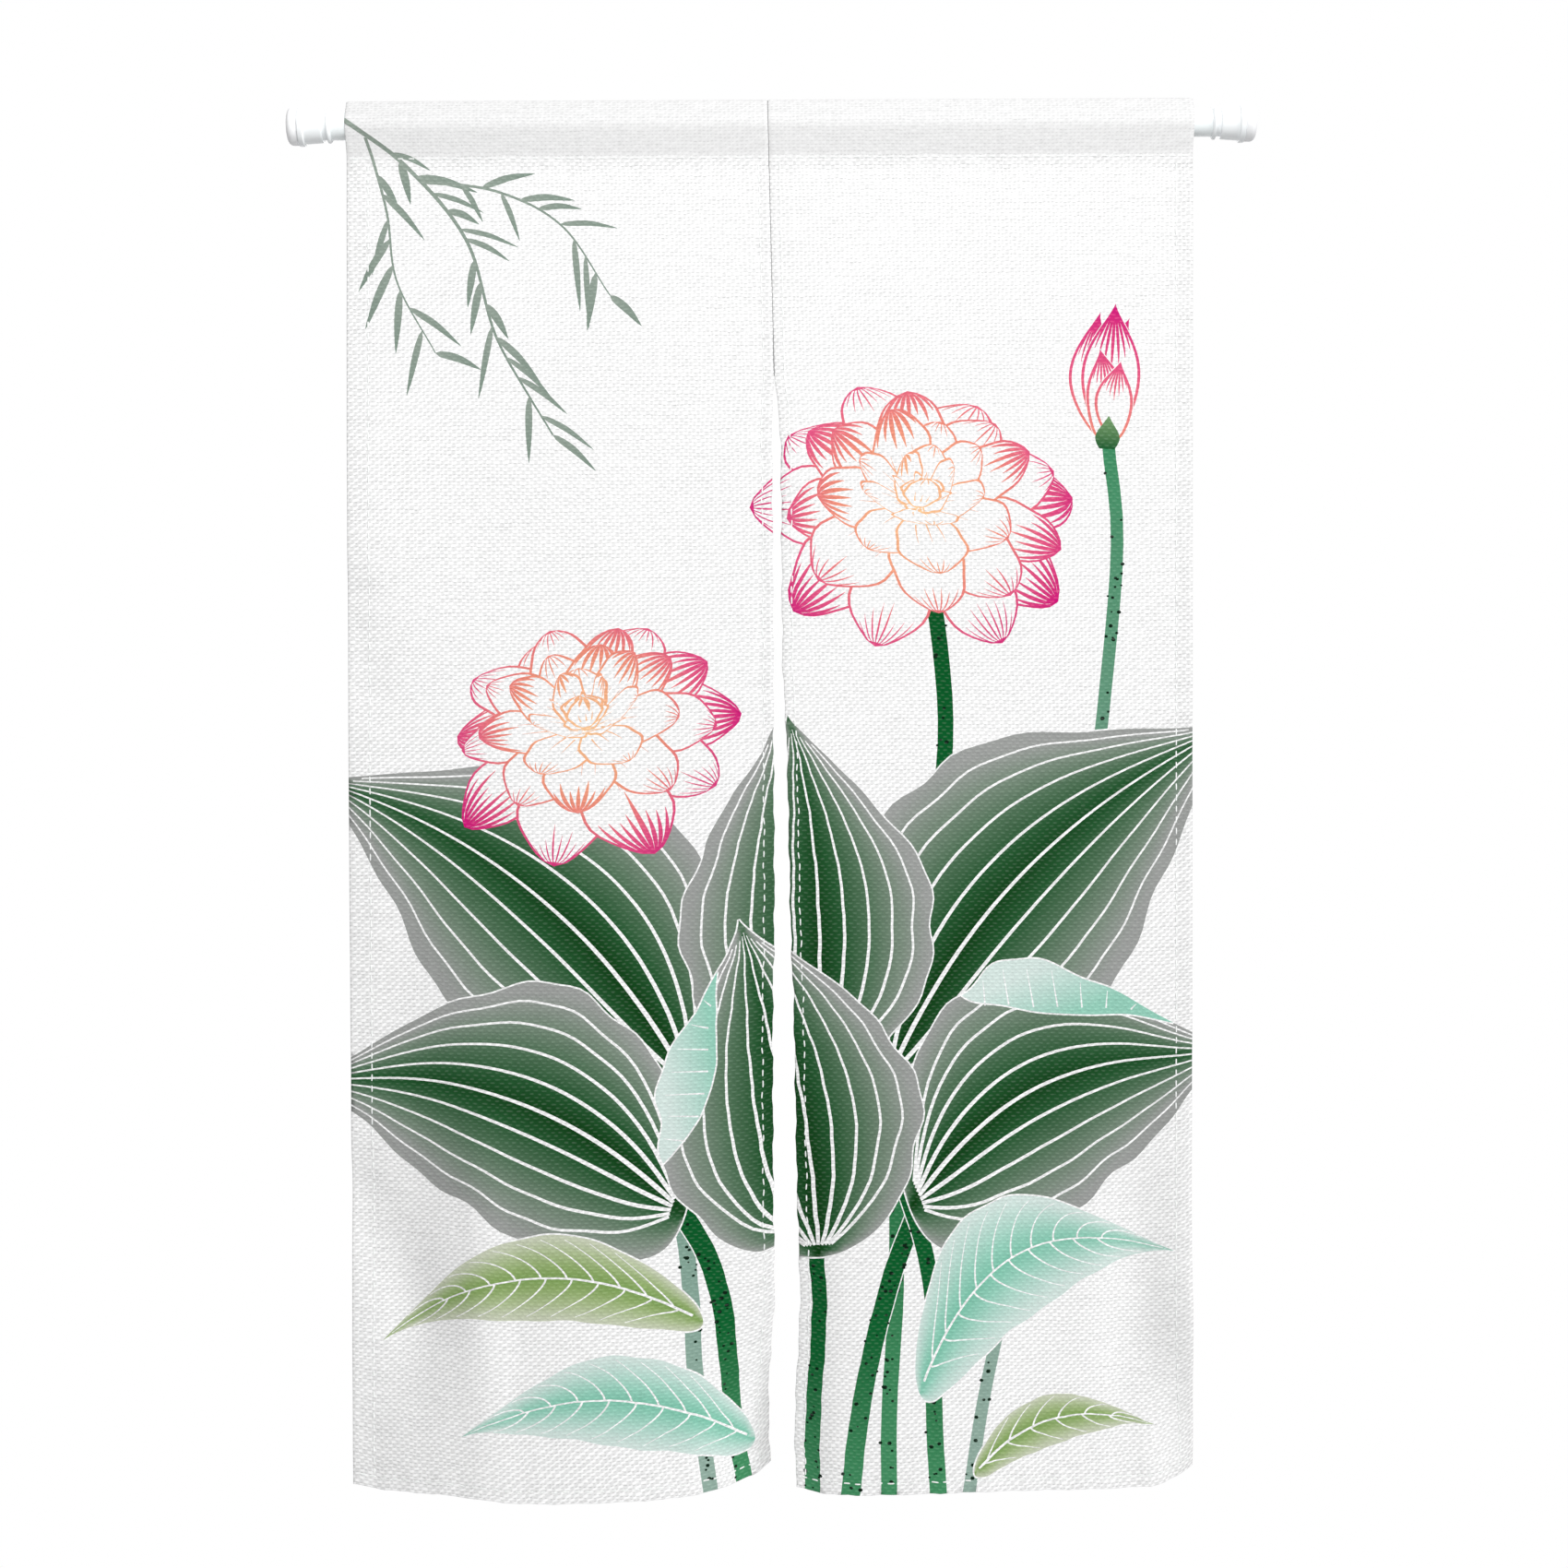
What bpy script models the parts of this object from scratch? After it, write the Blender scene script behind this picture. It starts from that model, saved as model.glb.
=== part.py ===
"""Noren curtain on a tension rod: two cloth panels that hang side by side from one rod.

X runs along the rod, -Y faces the viewer and +Z is up. The origin is the middle of the rod,
on its axis. All sizes are in metres.
"""
from collections import namedtuple
from math import acos, atan2, ceil, cos, pi, radians, sin

import bmesh
import bpy
import numpy as np

# Clearance that neighbouring solids keep
GAP = 0.0003

# Tension rod
ROD_RADIUS = 0.0140
ROD_WALL = 0.0010
ROD_HALF_LENGTH = 0.4457
COLLAR_RADIUS = 0.0170
COLLAR_WIDTH = 0.0037
COLLAR_LIP = 0.0009
COLLAR_FLARE = 0.0017
PLUG_LENGTH = 0.0250
SHOULDER_RADIUS = 0.0138
SHOULDER_WIDTH = 0.0047
NECK_START_RADIUS = 0.0165
NECK_END_RADIUS = 0.0178
NECK_WIDTH = 0.0185
FLANGE_RADIUS = 0.0200
FLANGE_WIDTH = 0.0056
PAD_RADIUS = 0.0190
PAD_FACE_RADIUS = 0.0135
PAD_WIDTH = 0.0108
CAP_EDGE = 0.0008
ROUND_SIDES = 36
PAD_ARC_SEGMENTS = 5
SHARP_ANGLE = radians(35)

# Cloth and its rod pocket
CLOTH = 0.0010
HEM_CLOTH = 0.0020
POCKET_CREST = 0.0250
CREASE_RADIUS = 0.0025
SEWN_LINE = 0.0334
POCKET_FILLET = 0.0150
POCKET_TAIL = 0.0060
HEM_STEP = 0.0020
BOTTOM_HEM = 0.0125
FULL_DROP = 1.3800
ROW_STEP = 0.0650
BODY_COLUMNS = 17
CREASE_SEGMENTS = 2
ROD_ARC_SEGMENTS = 5
FILLET_SEGMENTS = 3

# Where the cloth's upright edges are, at each drop below the rod's axis. The slit's two edges
# lie half its gap either side of its middle. The panels are sewn together where the gap is least.
Outline = namedtuple("Outline", "drop outer_left slit_middle slit_gap outer_right")
OUTLINE = (
    Outline(-0.025, -0.4272, -0.0041, 0.0004, 0.4234),
    Outline(0.060, -0.4274, -0.0024, 0.0004, 0.4232),
    Outline(0.253, -0.4283, 0.0016, 0.0004, 0.4224),
    Outline(0.290, -0.4284, 0.0027, 0.0070, 0.4222),
    Outline(0.340, -0.4284, 0.0035, 0.0088, 0.4219),
    Outline(0.540, -0.4284, 0.0042, 0.0092, 0.4209),
    Outline(0.620, -0.4283, 0.0058, 0.0132, 0.4205),
    Outline(0.800, -0.4281, 0.0074, 0.0163, 0.4195),
    Outline(0.895, -0.4281, 0.0079, 0.0211, 0.4190),
    Outline(1.080, -0.4282, 0.0091, 0.0239, 0.4178),
    Outline(1.173, -0.4283, 0.0107, 0.0254, 0.4175),
    Outline(1.260, -0.4284, 0.0059, 0.0271, 0.4184),
    Outline(1.303, -0.4284, 0.0045, 0.0261, 0.4199),
    Outline(1.380, -0.4282, 0.0068, 0.0245, 0.4219),
)

# Folds of one panel. u runs from 0 at its left edge to 1 at its right edge, and the share of
# the drop from 0 at the sewn line to 1 at the hem. A positive depth falls away from the viewer.
# A fold starts at one share, is whole at another, and keeps a part of its depth at the hem.
Fold = namedtuple("Fold", "top_u hem_u half_width depth starts whole kept_at_hem")
LEFT_FOLDS = (
    Fold(0.50, 0.55, 0.60, -0.0240, 0.25, 1.00, 1.0),
    Fold(0.00, 0.00, 0.25, 0.0110, 0.30, 1.00, 1.0),
    Fold(0.20, 0.16, 0.13, 0.0045, 0.45, 0.86, 0.3),
    Fold(0.30, 0.33, 0.09, -0.0035, 0.60, 0.86, 0.4),
    Fold(0.72, 0.76, 0.14, 0.0030, 0.35, 0.70, 0.0),
    Fold(1.00, 1.00, 0.22, 0.0340, 0.82, 1.00, 1.0),
)
RIGHT_FOLDS = (
    Fold(0.30, 0.25, 0.60, -0.0210, 0.30, 1.00, 1.0),
    Fold(0.00, 0.00, 0.12, 0.0090, 0.60, 1.00, 1.0),
    Fold(0.55, 0.60, 0.16, 0.0030, 0.40, 0.75, 0.2),
    Fold(0.86, 0.87, 0.13, 0.0080, 0.62, 0.90, 0.6),
    Fold(1.00, 1.00, 0.15, 0.0330, 0.84, 1.00, 1.0),
)

# How far the hem is drawn up, across the panel: its side hems are sewn tighter than the cloth.
Rise = namedtuple("Rise", "u height")
LEFT_RISE = (
    Rise(0.00, 0.0120),
    Rise(0.08, 0.0080),
    Rise(0.22, 0.0060),
    Rise(0.42, 0.0000),
    Rise(0.70, 0.0032),
    Rise(0.83, 0.0088),
    Rise(0.92, 0.0128),
    Rise(0.96, 0.0165),
    Rise(1.00, 0.0289),
)
RIGHT_RISE = (
    Rise(0.00, 0.0112),
    Rise(0.07, 0.0074),
    Rise(0.13, 0.0066),
    Rise(0.45, 0.0087),
    Rise(0.78, 0.0066),
    Rise(0.88, 0.0079),
    Rise(0.96, 0.0152),
    Rise(1.00, 0.0239),
)

# side says which edges of the outline are the panel's, and the hems are the widths of its side hems.
Panel = namedtuple("Panel", "name side left_hem right_hem folds rise")
PANELS = (
    Panel("panel_left", "left", 0.0220, 0.0110, LEFT_FOLDS, LEFT_RISE),
    Panel("panel_right", "right", 0.0110, 0.0180, RIGHT_FOLDS, RIGHT_RISE),
)


def clear_scene():
    for item in list(bpy.data.objects):
        bpy.data.objects.remove(item, do_unlink=True)


def make_material(name, colour, roughness, metallic=0.0):
    material = bpy.data.materials.new(name)
    material.use_nodes = True
    shader = material.node_tree.nodes["Principled BSDF"]
    shader.inputs["Base Color"].default_value = (*colour, 1.0)
    shader.inputs["Roughness"].default_value = roughness
    shader.inputs["Metallic"].default_value = metallic
    material.diffuse_color = (*colour, 1.0)
    return material


def add_object(name, mesh, material):
    mesh.materials.append(material)
    item = bpy.data.objects.new(name, mesh)
    bpy.context.scene.collection.objects.link(item)
    return item


def turned(name, profile, material, closed):
    """A solid of revolution about the X axis. The profile is a list of (x, radius) points: a
    closed ring away from the axis, or an open line that starts and ends on the axis."""
    shape = bmesh.new()
    line = [shape.verts.new((x, 0.0, radius)) for x, radius in profile]
    edges = [shape.edges.new(pair) for pair in zip(line, line[1:])]
    if closed:
        edges.append(shape.edges.new((line[-1], line[0])))
    bmesh.ops.spin(
        shape,
        geom=line + edges,
        cent=(0.0, 0.0, 0.0),
        axis=(1.0, 0.0, 0.0),
        angle=2 * pi,
        steps=ROUND_SIDES,
        use_merge=True,
    )
    bmesh.ops.remove_doubles(shape, verts=shape.verts, dist=1e-6)
    bmesh.ops.recalc_face_normals(shape, faces=shape.faces)
    mesh = bpy.data.meshes.new(name)
    shape.to_mesh(mesh)
    shape.free()
    mesh.shade_smooth()
    mesh.set_sharp_from_angle(angle=SHARP_ANGLE)
    return add_object(name, mesh, material)


def rod_tube(material):
    inner = ROD_RADIUS - ROD_WALL
    profile = [
        (-ROD_HALF_LENGTH, inner),
        (-ROD_HALF_LENGTH, ROD_RADIUS),
        (ROD_HALF_LENGTH, ROD_RADIUS),
        (ROD_HALF_LENGTH, inner),
    ]
    return turned("rod_tube", profile, material, closed=True)


def mirrored(profile, side):
    """The profile at the rod's right end for side 1, or at its left end for side -1."""
    return [(side * x, radius) for x, radius in profile]


def collar(side_name, side, material):
    """A thin flared ring round the end of the tube."""
    bore = ROD_RADIUS + GAP
    inner_end = ROD_HALF_LENGTH - COLLAR_WIDTH
    profile = [
        (inner_end, bore),
        (inner_end, bore + COLLAR_LIP),
        (inner_end + COLLAR_FLARE, COLLAR_RADIUS),
        (ROD_HALF_LENGTH, COLLAR_RADIUS),
        (ROD_HALF_LENGTH, bore),
    ]
    return turned("collar_" + side_name, mirrored(profile, side), material, closed=True)


def end_cap(side_name, side, material):
    """A plug in the tube, a slim shoulder, a flaring neck and a flange."""
    shoulder = ROD_HALF_LENGTH + GAP
    neck = shoulder + SHOULDER_WIDTH
    flange = neck + NECK_WIDTH
    outer_face = flange + FLANGE_WIDTH
    plug_radius = ROD_RADIUS - ROD_WALL - GAP
    profile = [
        (shoulder - PLUG_LENGTH, 0.0),
        (shoulder - PLUG_LENGTH, plug_radius - CAP_EDGE),
        (shoulder - PLUG_LENGTH + CAP_EDGE, plug_radius),
        (shoulder, plug_radius),
        (shoulder, SHOULDER_RADIUS),
        (neck, SHOULDER_RADIUS),
        (neck, NECK_START_RADIUS - CAP_EDGE),
        (neck + CAP_EDGE, NECK_START_RADIUS),
        (flange, NECK_END_RADIUS),
        (flange, FLANGE_RADIUS - CAP_EDGE),
        (flange + CAP_EDGE, FLANGE_RADIUS),
        (outer_face - CAP_EDGE, FLANGE_RADIUS),
        (outer_face, FLANGE_RADIUS - CAP_EDGE),
        (outer_face, 0.0),
    ]
    return turned("end_cap_" + side_name, mirrored(profile, side), material, closed=False)


def end_pad(side_name, side, material):
    """A soft pad with rounded shoulders and a flat outer face."""
    inner_face = ROD_HALF_LENGTH + GAP + SHOULDER_WIDTH + NECK_WIDTH + FLANGE_WIDTH + GAP
    outer_face = inner_face + PAD_WIDTH
    drawn_in = PAD_RADIUS - PAD_FACE_RADIUS
    round_start = outer_face - drawn_in
    profile = [(inner_face, 0.0), (inner_face, PAD_RADIUS), (round_start, PAD_RADIUS)]
    for step in range(1, PAD_ARC_SEGMENTS + 1):
        angle = step / PAD_ARC_SEGMENTS * pi / 2
        profile.append((round_start + drawn_in * sin(angle), PAD_FACE_RADIUS + drawn_in * cos(angle)))
    profile.append((outer_face, 0.0))
    return turned("end_pad_" + side_name, mirrored(profile, side), material, closed=False)


def arc(centre, radius, start, end, segments):
    """Points on an arc in the YZ plane. Angles run from +Z towards -Y."""
    angles = np.linspace(start, end, segments + 1)
    return np.column_stack([centre[0] - radius * np.sin(angles), centre[1] + radius * np.cos(angles)])


def pocket_front():
    """The cloth's outer face in the YZ plane, from the crest over the rod to the sewn line.

    A small crease at the crest, a straight slope that touches the rod, an arc round the rod,
    a straight slope inwards, and a hollow fillet that ends upright at the sewn line.
    """
    wrap = ROD_RADIUS + GAP + CLOTH
    crease_height = POCKET_CREST - CREASE_RADIUS
    upper = acos((wrap - CREASE_RADIUS) / crease_height)
    crease = arc((0.0, crease_height), CREASE_RADIUS, 0.0, upper, CREASE_SEGMENTS)
    fillet_y = -(GAP / 2 + CLOTH) - POCKET_FILLET
    reach = np.hypot(fillet_y, SEWN_LINE)
    below = atan2(-fillet_y, -SEWN_LINE)
    lower = below - acos((wrap + POCKET_FILLET) / reach)
    round_rod = arc((0.0, 0.0), wrap, upper, lower, ROD_ARC_SEGMENTS)
    fillet = arc((fillet_y, -SEWN_LINE), -POCKET_FILLET, lower, pi / 2, FILLET_SEGMENTS)
    return np.vstack([crease, round_rod, fillet])


def smooth(at, places, values):
    """A smooth curve through a table's values that never swings past them: each inner slope is
    the harmonic mean of the two beside it, and level where those differ in sign."""
    places = np.asarray(places)
    values = np.asarray(values)
    rates = np.diff(values) / np.diff(places)
    product = np.maximum(rates[:-1] * rates[1:], 0.0)
    total = np.where(product > 0, rates[:-1] + rates[1:], 1.0)
    slopes = np.concatenate([rates[:1], 2 * product / total, rates[-1:]])
    at = np.clip(at, places[0], places[-1])
    k = np.clip(np.searchsorted(places, at, side="right") - 1, 0, len(places) - 2)
    step = places[k + 1] - places[k]
    t = (at - places[k]) / step
    start = (1 + 2 * t) * (1 - t) ** 2 * values[k] + t * (1 - t) ** 2 * step * slopes[k]
    end = t**2 * (3 - 2 * t) * values[k + 1] + t**2 * (t - 1) * step * slopes[k + 1]
    return start + end


def soft_step(value):
    """0 below 0, 1 above 1, and an even S curve between them."""
    value = np.clip(value, 0.0, 1.0)
    return value * value * (3 - 2 * value)


def fold_depth(u, share, folds):
    """How far the cloth lies behind the sewn line's plane: the sum of the panel's folds, each
    half a cosine wave across and an S curve down."""
    depth = np.zeros_like(u * share)
    for fold in folds:
        middle = fold.top_u + (fold.hem_u - fold.top_u) * share
        across = np.clip((u - middle) / fold.half_width, -1.0, 1.0)
        down = soft_step((share - fold.starts) / (fold.whole - fold.starts))
        if fold.whole < 1.0:
            down = down * (1 - (1 - fold.kept_at_hem) * soft_step((share - fold.whole) / (1 - fold.whole)))
        depth += fold.depth * (1 + np.cos(pi * across)) / 2 * down
    return depth


def drop_rows():
    """Shares of the drop where the cloth has a row of points: on the outline's rows, evenly
    between them, and at the bottom hem's fold."""
    length = FULL_DROP - SEWN_LINE
    stops = [SEWN_LINE, SEWN_LINE + POCKET_TAIL, SEWN_LINE + POCKET_TAIL + HEM_STEP]
    stops += [row.drop for row in OUTLINE if row.drop > stops[-1]]
    rows = []
    for low, high in zip(stops, stops[1:]):
        parts = ceil((high - low) / ROW_STEP)
        rows += [low + (high - low) * part / parts for part in range(1, parts + 1)]
    rows += [FULL_DROP - BOTTOM_HEM - HEM_STEP, FULL_DROP - BOTTOM_HEM]
    return (np.array(sorted(rows)) - SEWN_LINE) / length


def columns(panel, width):
    """Places across the panel, with one column each side of where a side hem ends."""
    left = panel.left_hem / width
    right = 1 - panel.right_hem / width
    step = HEM_STEP / width
    body = np.linspace(left + step, right - step, BODY_COLUMNS)
    return np.concatenate([[0.0, left], body, [right, 1.0]])


def upright_edges(side, drop):
    """Where the panel's left and right edges are along X, at these drops below the axis."""
    drops, outer_left, middle, gap, outer_right = zip(*OUTLINE)
    slit_middle = smooth(drop, drops, middle)
    half_gap = smooth(drop, drops, gap) / 2
    if side == "left":
        return smooth(drop, drops, outer_left), slit_middle - half_gap
    return slit_middle + half_gap, smooth(drop, drops, outer_right)


def pocket_rows():
    """The whole pocket in the YZ plane, from the turned-in tail at the back to the sewn line in front."""
    front = pocket_front()
    back = front[::-1] * [-1.0, 1.0]
    tail = back[:1] - [0.0, POCKET_TAIL]
    return np.vstack([tail, back, front[1:]])


def panel_points(panel):
    """The outer face of one panel as a grid of points, rows from the back of the pocket over
    the rod and down to the hem, and columns from left to right. Also says which points are hems."""
    top_left, top_right = upright_edges(panel.side, np.array(-POCKET_CREST))
    width = top_right - top_left
    u = columns(panel, width)

    pocket = pocket_rows()
    pocket_y = np.repeat(pocket[:, :1], len(u), axis=1)
    pocket_z = np.repeat(pocket[:, 1:], len(u), axis=1)
    share = drop_rows()[:, None]
    rise_u, rise_height = zip(*panel.rise)
    rise = smooth(u, rise_u, rise_height)
    drop_z = -SEWN_LINE - share * (FULL_DROP - SEWN_LINE) + rise * share**3
    drop_y = pocket_y[-1, 0] + fold_depth(u, share, panel.folds)
    y = np.vstack([pocket_y, drop_y])
    z = np.vstack([pocket_z, drop_z])

    left_x, right_x = upright_edges(panel.side, -z)
    flat_step = np.diff(u) * width
    run = np.sqrt(flat_step**2 - np.diff(y, axis=1) ** 2)
    across = np.hstack([np.zeros((len(y), 1)), np.cumsum(run, axis=1)])
    across /= across[:, -1:]
    x = left_x + (right_x - left_x) * across

    hems = np.zeros(x.shape, dtype=bool)
    below_tail = len(pocket) + 1
    hems[below_tail:, [0, 1, -2, -1]] = True
    hems[-2:, :] = True
    return np.dstack([x, y, z]), hems


def cloth_panel(panel, material):
    """One piece of cloth: the outer face as a grid, thickened inwards, double at its hems."""
    points, hems = panel_points(panel)
    rows, count = hems.shape
    index = np.arange(rows * count).reshape(rows, count)
    quads = np.dstack([index[:-1, :-1], index[1:, :-1], index[1:, 1:], index[:-1, 1:]]).reshape(-1, 4)
    mesh = bpy.data.meshes.new(panel.name)
    mesh.from_pydata(points.reshape(-1, 3).tolist(), [], quads.tolist())
    mesh.shade_smooth()
    item = add_object(panel.name, mesh, material)
    group = item.vertex_groups.new(name="hems")
    group.add(np.flatnonzero(hems.ravel()).tolist(), 1.0, "REPLACE")
    shell = item.modifiers.new("Cloth thickness", "SOLIDIFY")
    shell.thickness = HEM_CLOTH
    shell.offset = -1.0
    shell.use_even_offset = True
    shell.vertex_group = group.name
    shell.thickness_vertex_group = CLOTH / HEM_CLOTH
    return item


def main():
    clear_scene()
    cloth = make_material("woven cloth", (0.86, 0.86, 0.84), 0.9)
    tube = make_material("white painted tube", (0.83, 0.87, 0.89), 0.3)
    plastic = make_material("white plastic", (0.86, 0.88, 0.89), 0.45)
    soft = make_material("pale soft pad", (0.90, 0.91, 0.91), 0.7)
    rod_tube(tube)
    for side_name, side in (("left", -1), ("right", 1)):
        collar(side_name, side, plastic)
        end_cap(side_name, side, plastic)
        end_pad(side_name, side, soft)
    for panel in PANELS:
        cloth_panel(panel, cloth)


main()
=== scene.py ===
# %% [markdown]
# # A doorway noren on its tension rod
#
# A noren is a light curtain in two panels. It hangs from a rod that is pressed between the two
# sides of a doorway, and people part it with a hand as they walk through. This lesson dresses the
# plain solids of such a curtain: it hangs finely modelled cloth on their folds, draws a print of
# blossoms and broad leaves on it, sews it, and gives the rod and its end caps their finish.
#
# The solids are loaded first. They stay where they are, and everything that follows fits them.

# %% Load the plain solids
from collections import namedtuple
from math import acos, atan2, ceil, cos, pi, radians, sin

import bpy
import numpy as np
from mathutils import Matrix, Vector
from mathutils.geometry import delaunay_2d_cdt


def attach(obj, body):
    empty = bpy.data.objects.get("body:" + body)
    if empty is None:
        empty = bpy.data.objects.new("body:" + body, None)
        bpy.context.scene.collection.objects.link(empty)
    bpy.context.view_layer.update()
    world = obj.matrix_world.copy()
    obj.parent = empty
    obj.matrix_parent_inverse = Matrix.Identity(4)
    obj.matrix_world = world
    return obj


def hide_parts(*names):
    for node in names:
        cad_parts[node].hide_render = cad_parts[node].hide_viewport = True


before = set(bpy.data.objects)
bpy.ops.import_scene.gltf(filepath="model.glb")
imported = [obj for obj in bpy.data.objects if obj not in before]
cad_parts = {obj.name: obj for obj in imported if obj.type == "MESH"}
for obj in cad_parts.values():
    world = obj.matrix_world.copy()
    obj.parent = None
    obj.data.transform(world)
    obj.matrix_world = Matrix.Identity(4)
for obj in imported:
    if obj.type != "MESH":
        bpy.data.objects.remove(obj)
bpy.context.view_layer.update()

print("solids:", ", ".join(sorted(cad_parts)))

# %% [markdown]
# ## Camera
#
# The curtain is seen straight from the front, a little below the middle of its drop, so its two
# hems curl very slightly with perspective. The cloth is 850 mm wide and 916.5 pixels across in the
# photograph, which gives the size of a pixel at the rod. A camera at a known distance then needs
# the lens that shows 1700 such pixels. The photograph leans by a quarter of a degree, and so does
# the camera.

# %% Place the camera
PHOTO_SIDE = 1700
PIXEL = 0.850 / 916.5
CAMERA_DISTANCE = 2.6
CAMERA_X = 0.0096
CAMERA_Z = -0.6633
CAMERA_ROLL = radians(-0.25)
SENSOR_WIDTH = 36.0

camera_data = bpy.data.cameras.new("Camera")
camera_data.sensor_width = SENSOR_WIDTH
camera_data.lens = SENSOR_WIDTH * CAMERA_DISTANCE / (PHOTO_SIDE * PIXEL)
camera = bpy.data.objects.new("Camera", camera_data)
bpy.context.scene.collection.objects.link(camera)
upright = Matrix.Rotation(pi / 2, 4, "X")
rolled = Matrix.Rotation(CAMERA_ROLL, 4, "Z")
camera.matrix_world = Matrix.Translation((CAMERA_X, -CAMERA_DISTANCE, CAMERA_Z)) @ upright @ rolled
bpy.context.scene.camera = camera
print(f"lens {camera_data.lens:.2f} mm, frame {PHOTO_SIDE * PIXEL:.3f} m wide at the rod")

# %% [markdown]
# ## Light and floor
#
# The photograph is a studio cut-out on pure white. A white world would do for the background, but
# at full strength it would also wash out every fold. So the world is white to the camera and in
# reflections, and dimmer to the cloth. One big soft lamp high in front leaves the hem darker than
# the top. A far lamp from the right draws the upright folds, and a weak one behind keeps the back
# readable.

# %% Light the room
SKY_TO_CLOTH = 0.37
SIDE_WAY = (-0.8, 0.6, -0.40)
SIDE_STRENGTH = 1.30
SIDE_SPREAD = radians(25)
Lamp = namedtuple("Lamp", "name place target size power")
SOFT_LAMPS = (
    Lamp("Key", (0.35, -2.45, 1.20), (0.0, 0.0, -0.55), 1.3, 57.0),
    Lamp("Behind", (-0.6, 2.0, 0.9), (0.0, 0.0, -0.7), 1.4, 27.0),
)

bpy.context.scene.view_settings.view_transform = "Standard"
world = bpy.data.worlds.new("Studio")
bpy.context.scene.world = world
world.use_nodes = True
sky_tree = world.node_tree
sky = sky_tree.nodes["Background"]
seen = sky_tree.nodes.new("ShaderNodeLightPath")
strength = sky_tree.nodes.new("ShaderNodeMapRange")
strength.inputs["To Min"].default_value = SKY_TO_CLOTH
strength.inputs["To Max"].default_value = 1.0
either = sky_tree.nodes.new("ShaderNodeMath")
either.operation = "MAXIMUM"
sky_tree.links.new(seen.outputs["Is Camera Ray"], either.inputs[0])
sky_tree.links.new(seen.outputs["Is Glossy Ray"], either.inputs[1])
sky_tree.links.new(either.outputs[0], strength.inputs["Value"])
sky_tree.links.new(strength.outputs["Result"], sky.inputs["Strength"])
sky.inputs["Color"].default_value = (1.0, 1.0, 1.0, 1.0)


def lamp_along(name, kind, way):
    """A lamp of some kind, turned to shine along a way."""
    lamp = bpy.data.objects.new(name, bpy.data.lights.new(name, kind))
    bpy.context.scene.collection.objects.link(lamp)
    lamp.rotation_euler = Vector(way).to_track_quat("-Z", "Y").to_euler()
    return lamp


for row in SOFT_LAMPS:
    lamp = lamp_along(row.name, "AREA", np.subtract(row.target, row.place))
    lamp.location = row.place
    lamp.data.size = row.size
    lamp.data.energy = row.power
side_lamp = lamp_along("Side", "SUN", SIDE_WAY)
side_lamp.data.energy = SIDE_STRENGTH
side_lamp.data.angle = SIDE_SPREAD
print("lamps: Key, Behind and Side, under a white world")

# %% [markdown]
# ## Writing materials as sums
#
# A procedural material is a graph of small nodes, and weave needs dozens of them. Wiring each by
# hand hides the idea. Here one small class wraps a socket and overloads Python's operators, so
# that a line such as `1 - gap * 0.2` adds its own Math nodes. A second class holds a material and
# makes any other node from its type, its settings and its inputs.


# %% Sockets that can be added and multiplied
class Term:
    """One number that varies over a surface. Sums of terms add Math nodes to the material."""

    def __init__(self, finish, socket):
        self.finish = finish
        self.socket = socket

    def __add__(self, other):
        return self.finish.math("ADD", self, other)

    def __radd__(self, other):
        return self.finish.math("ADD", other, self)

    def __sub__(self, other):
        return self.finish.math("SUBTRACT", self, other)

    def __rsub__(self, other):
        return self.finish.math("SUBTRACT", other, self)

    def __mul__(self, other):
        return self.finish.math("MULTIPLY", self, other)

    def __rmul__(self, other):
        return self.finish.math("MULTIPLY", other, self)

    def __pow__(self, other):
        return self.finish.math("POWER", self, other)


print("a term adds nodes for +, -, * and **")

# %% [markdown]
# The second class is the material itself. One method makes any node, and the others are short
# names for the nodes that weave, thread and paint need most.


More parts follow.
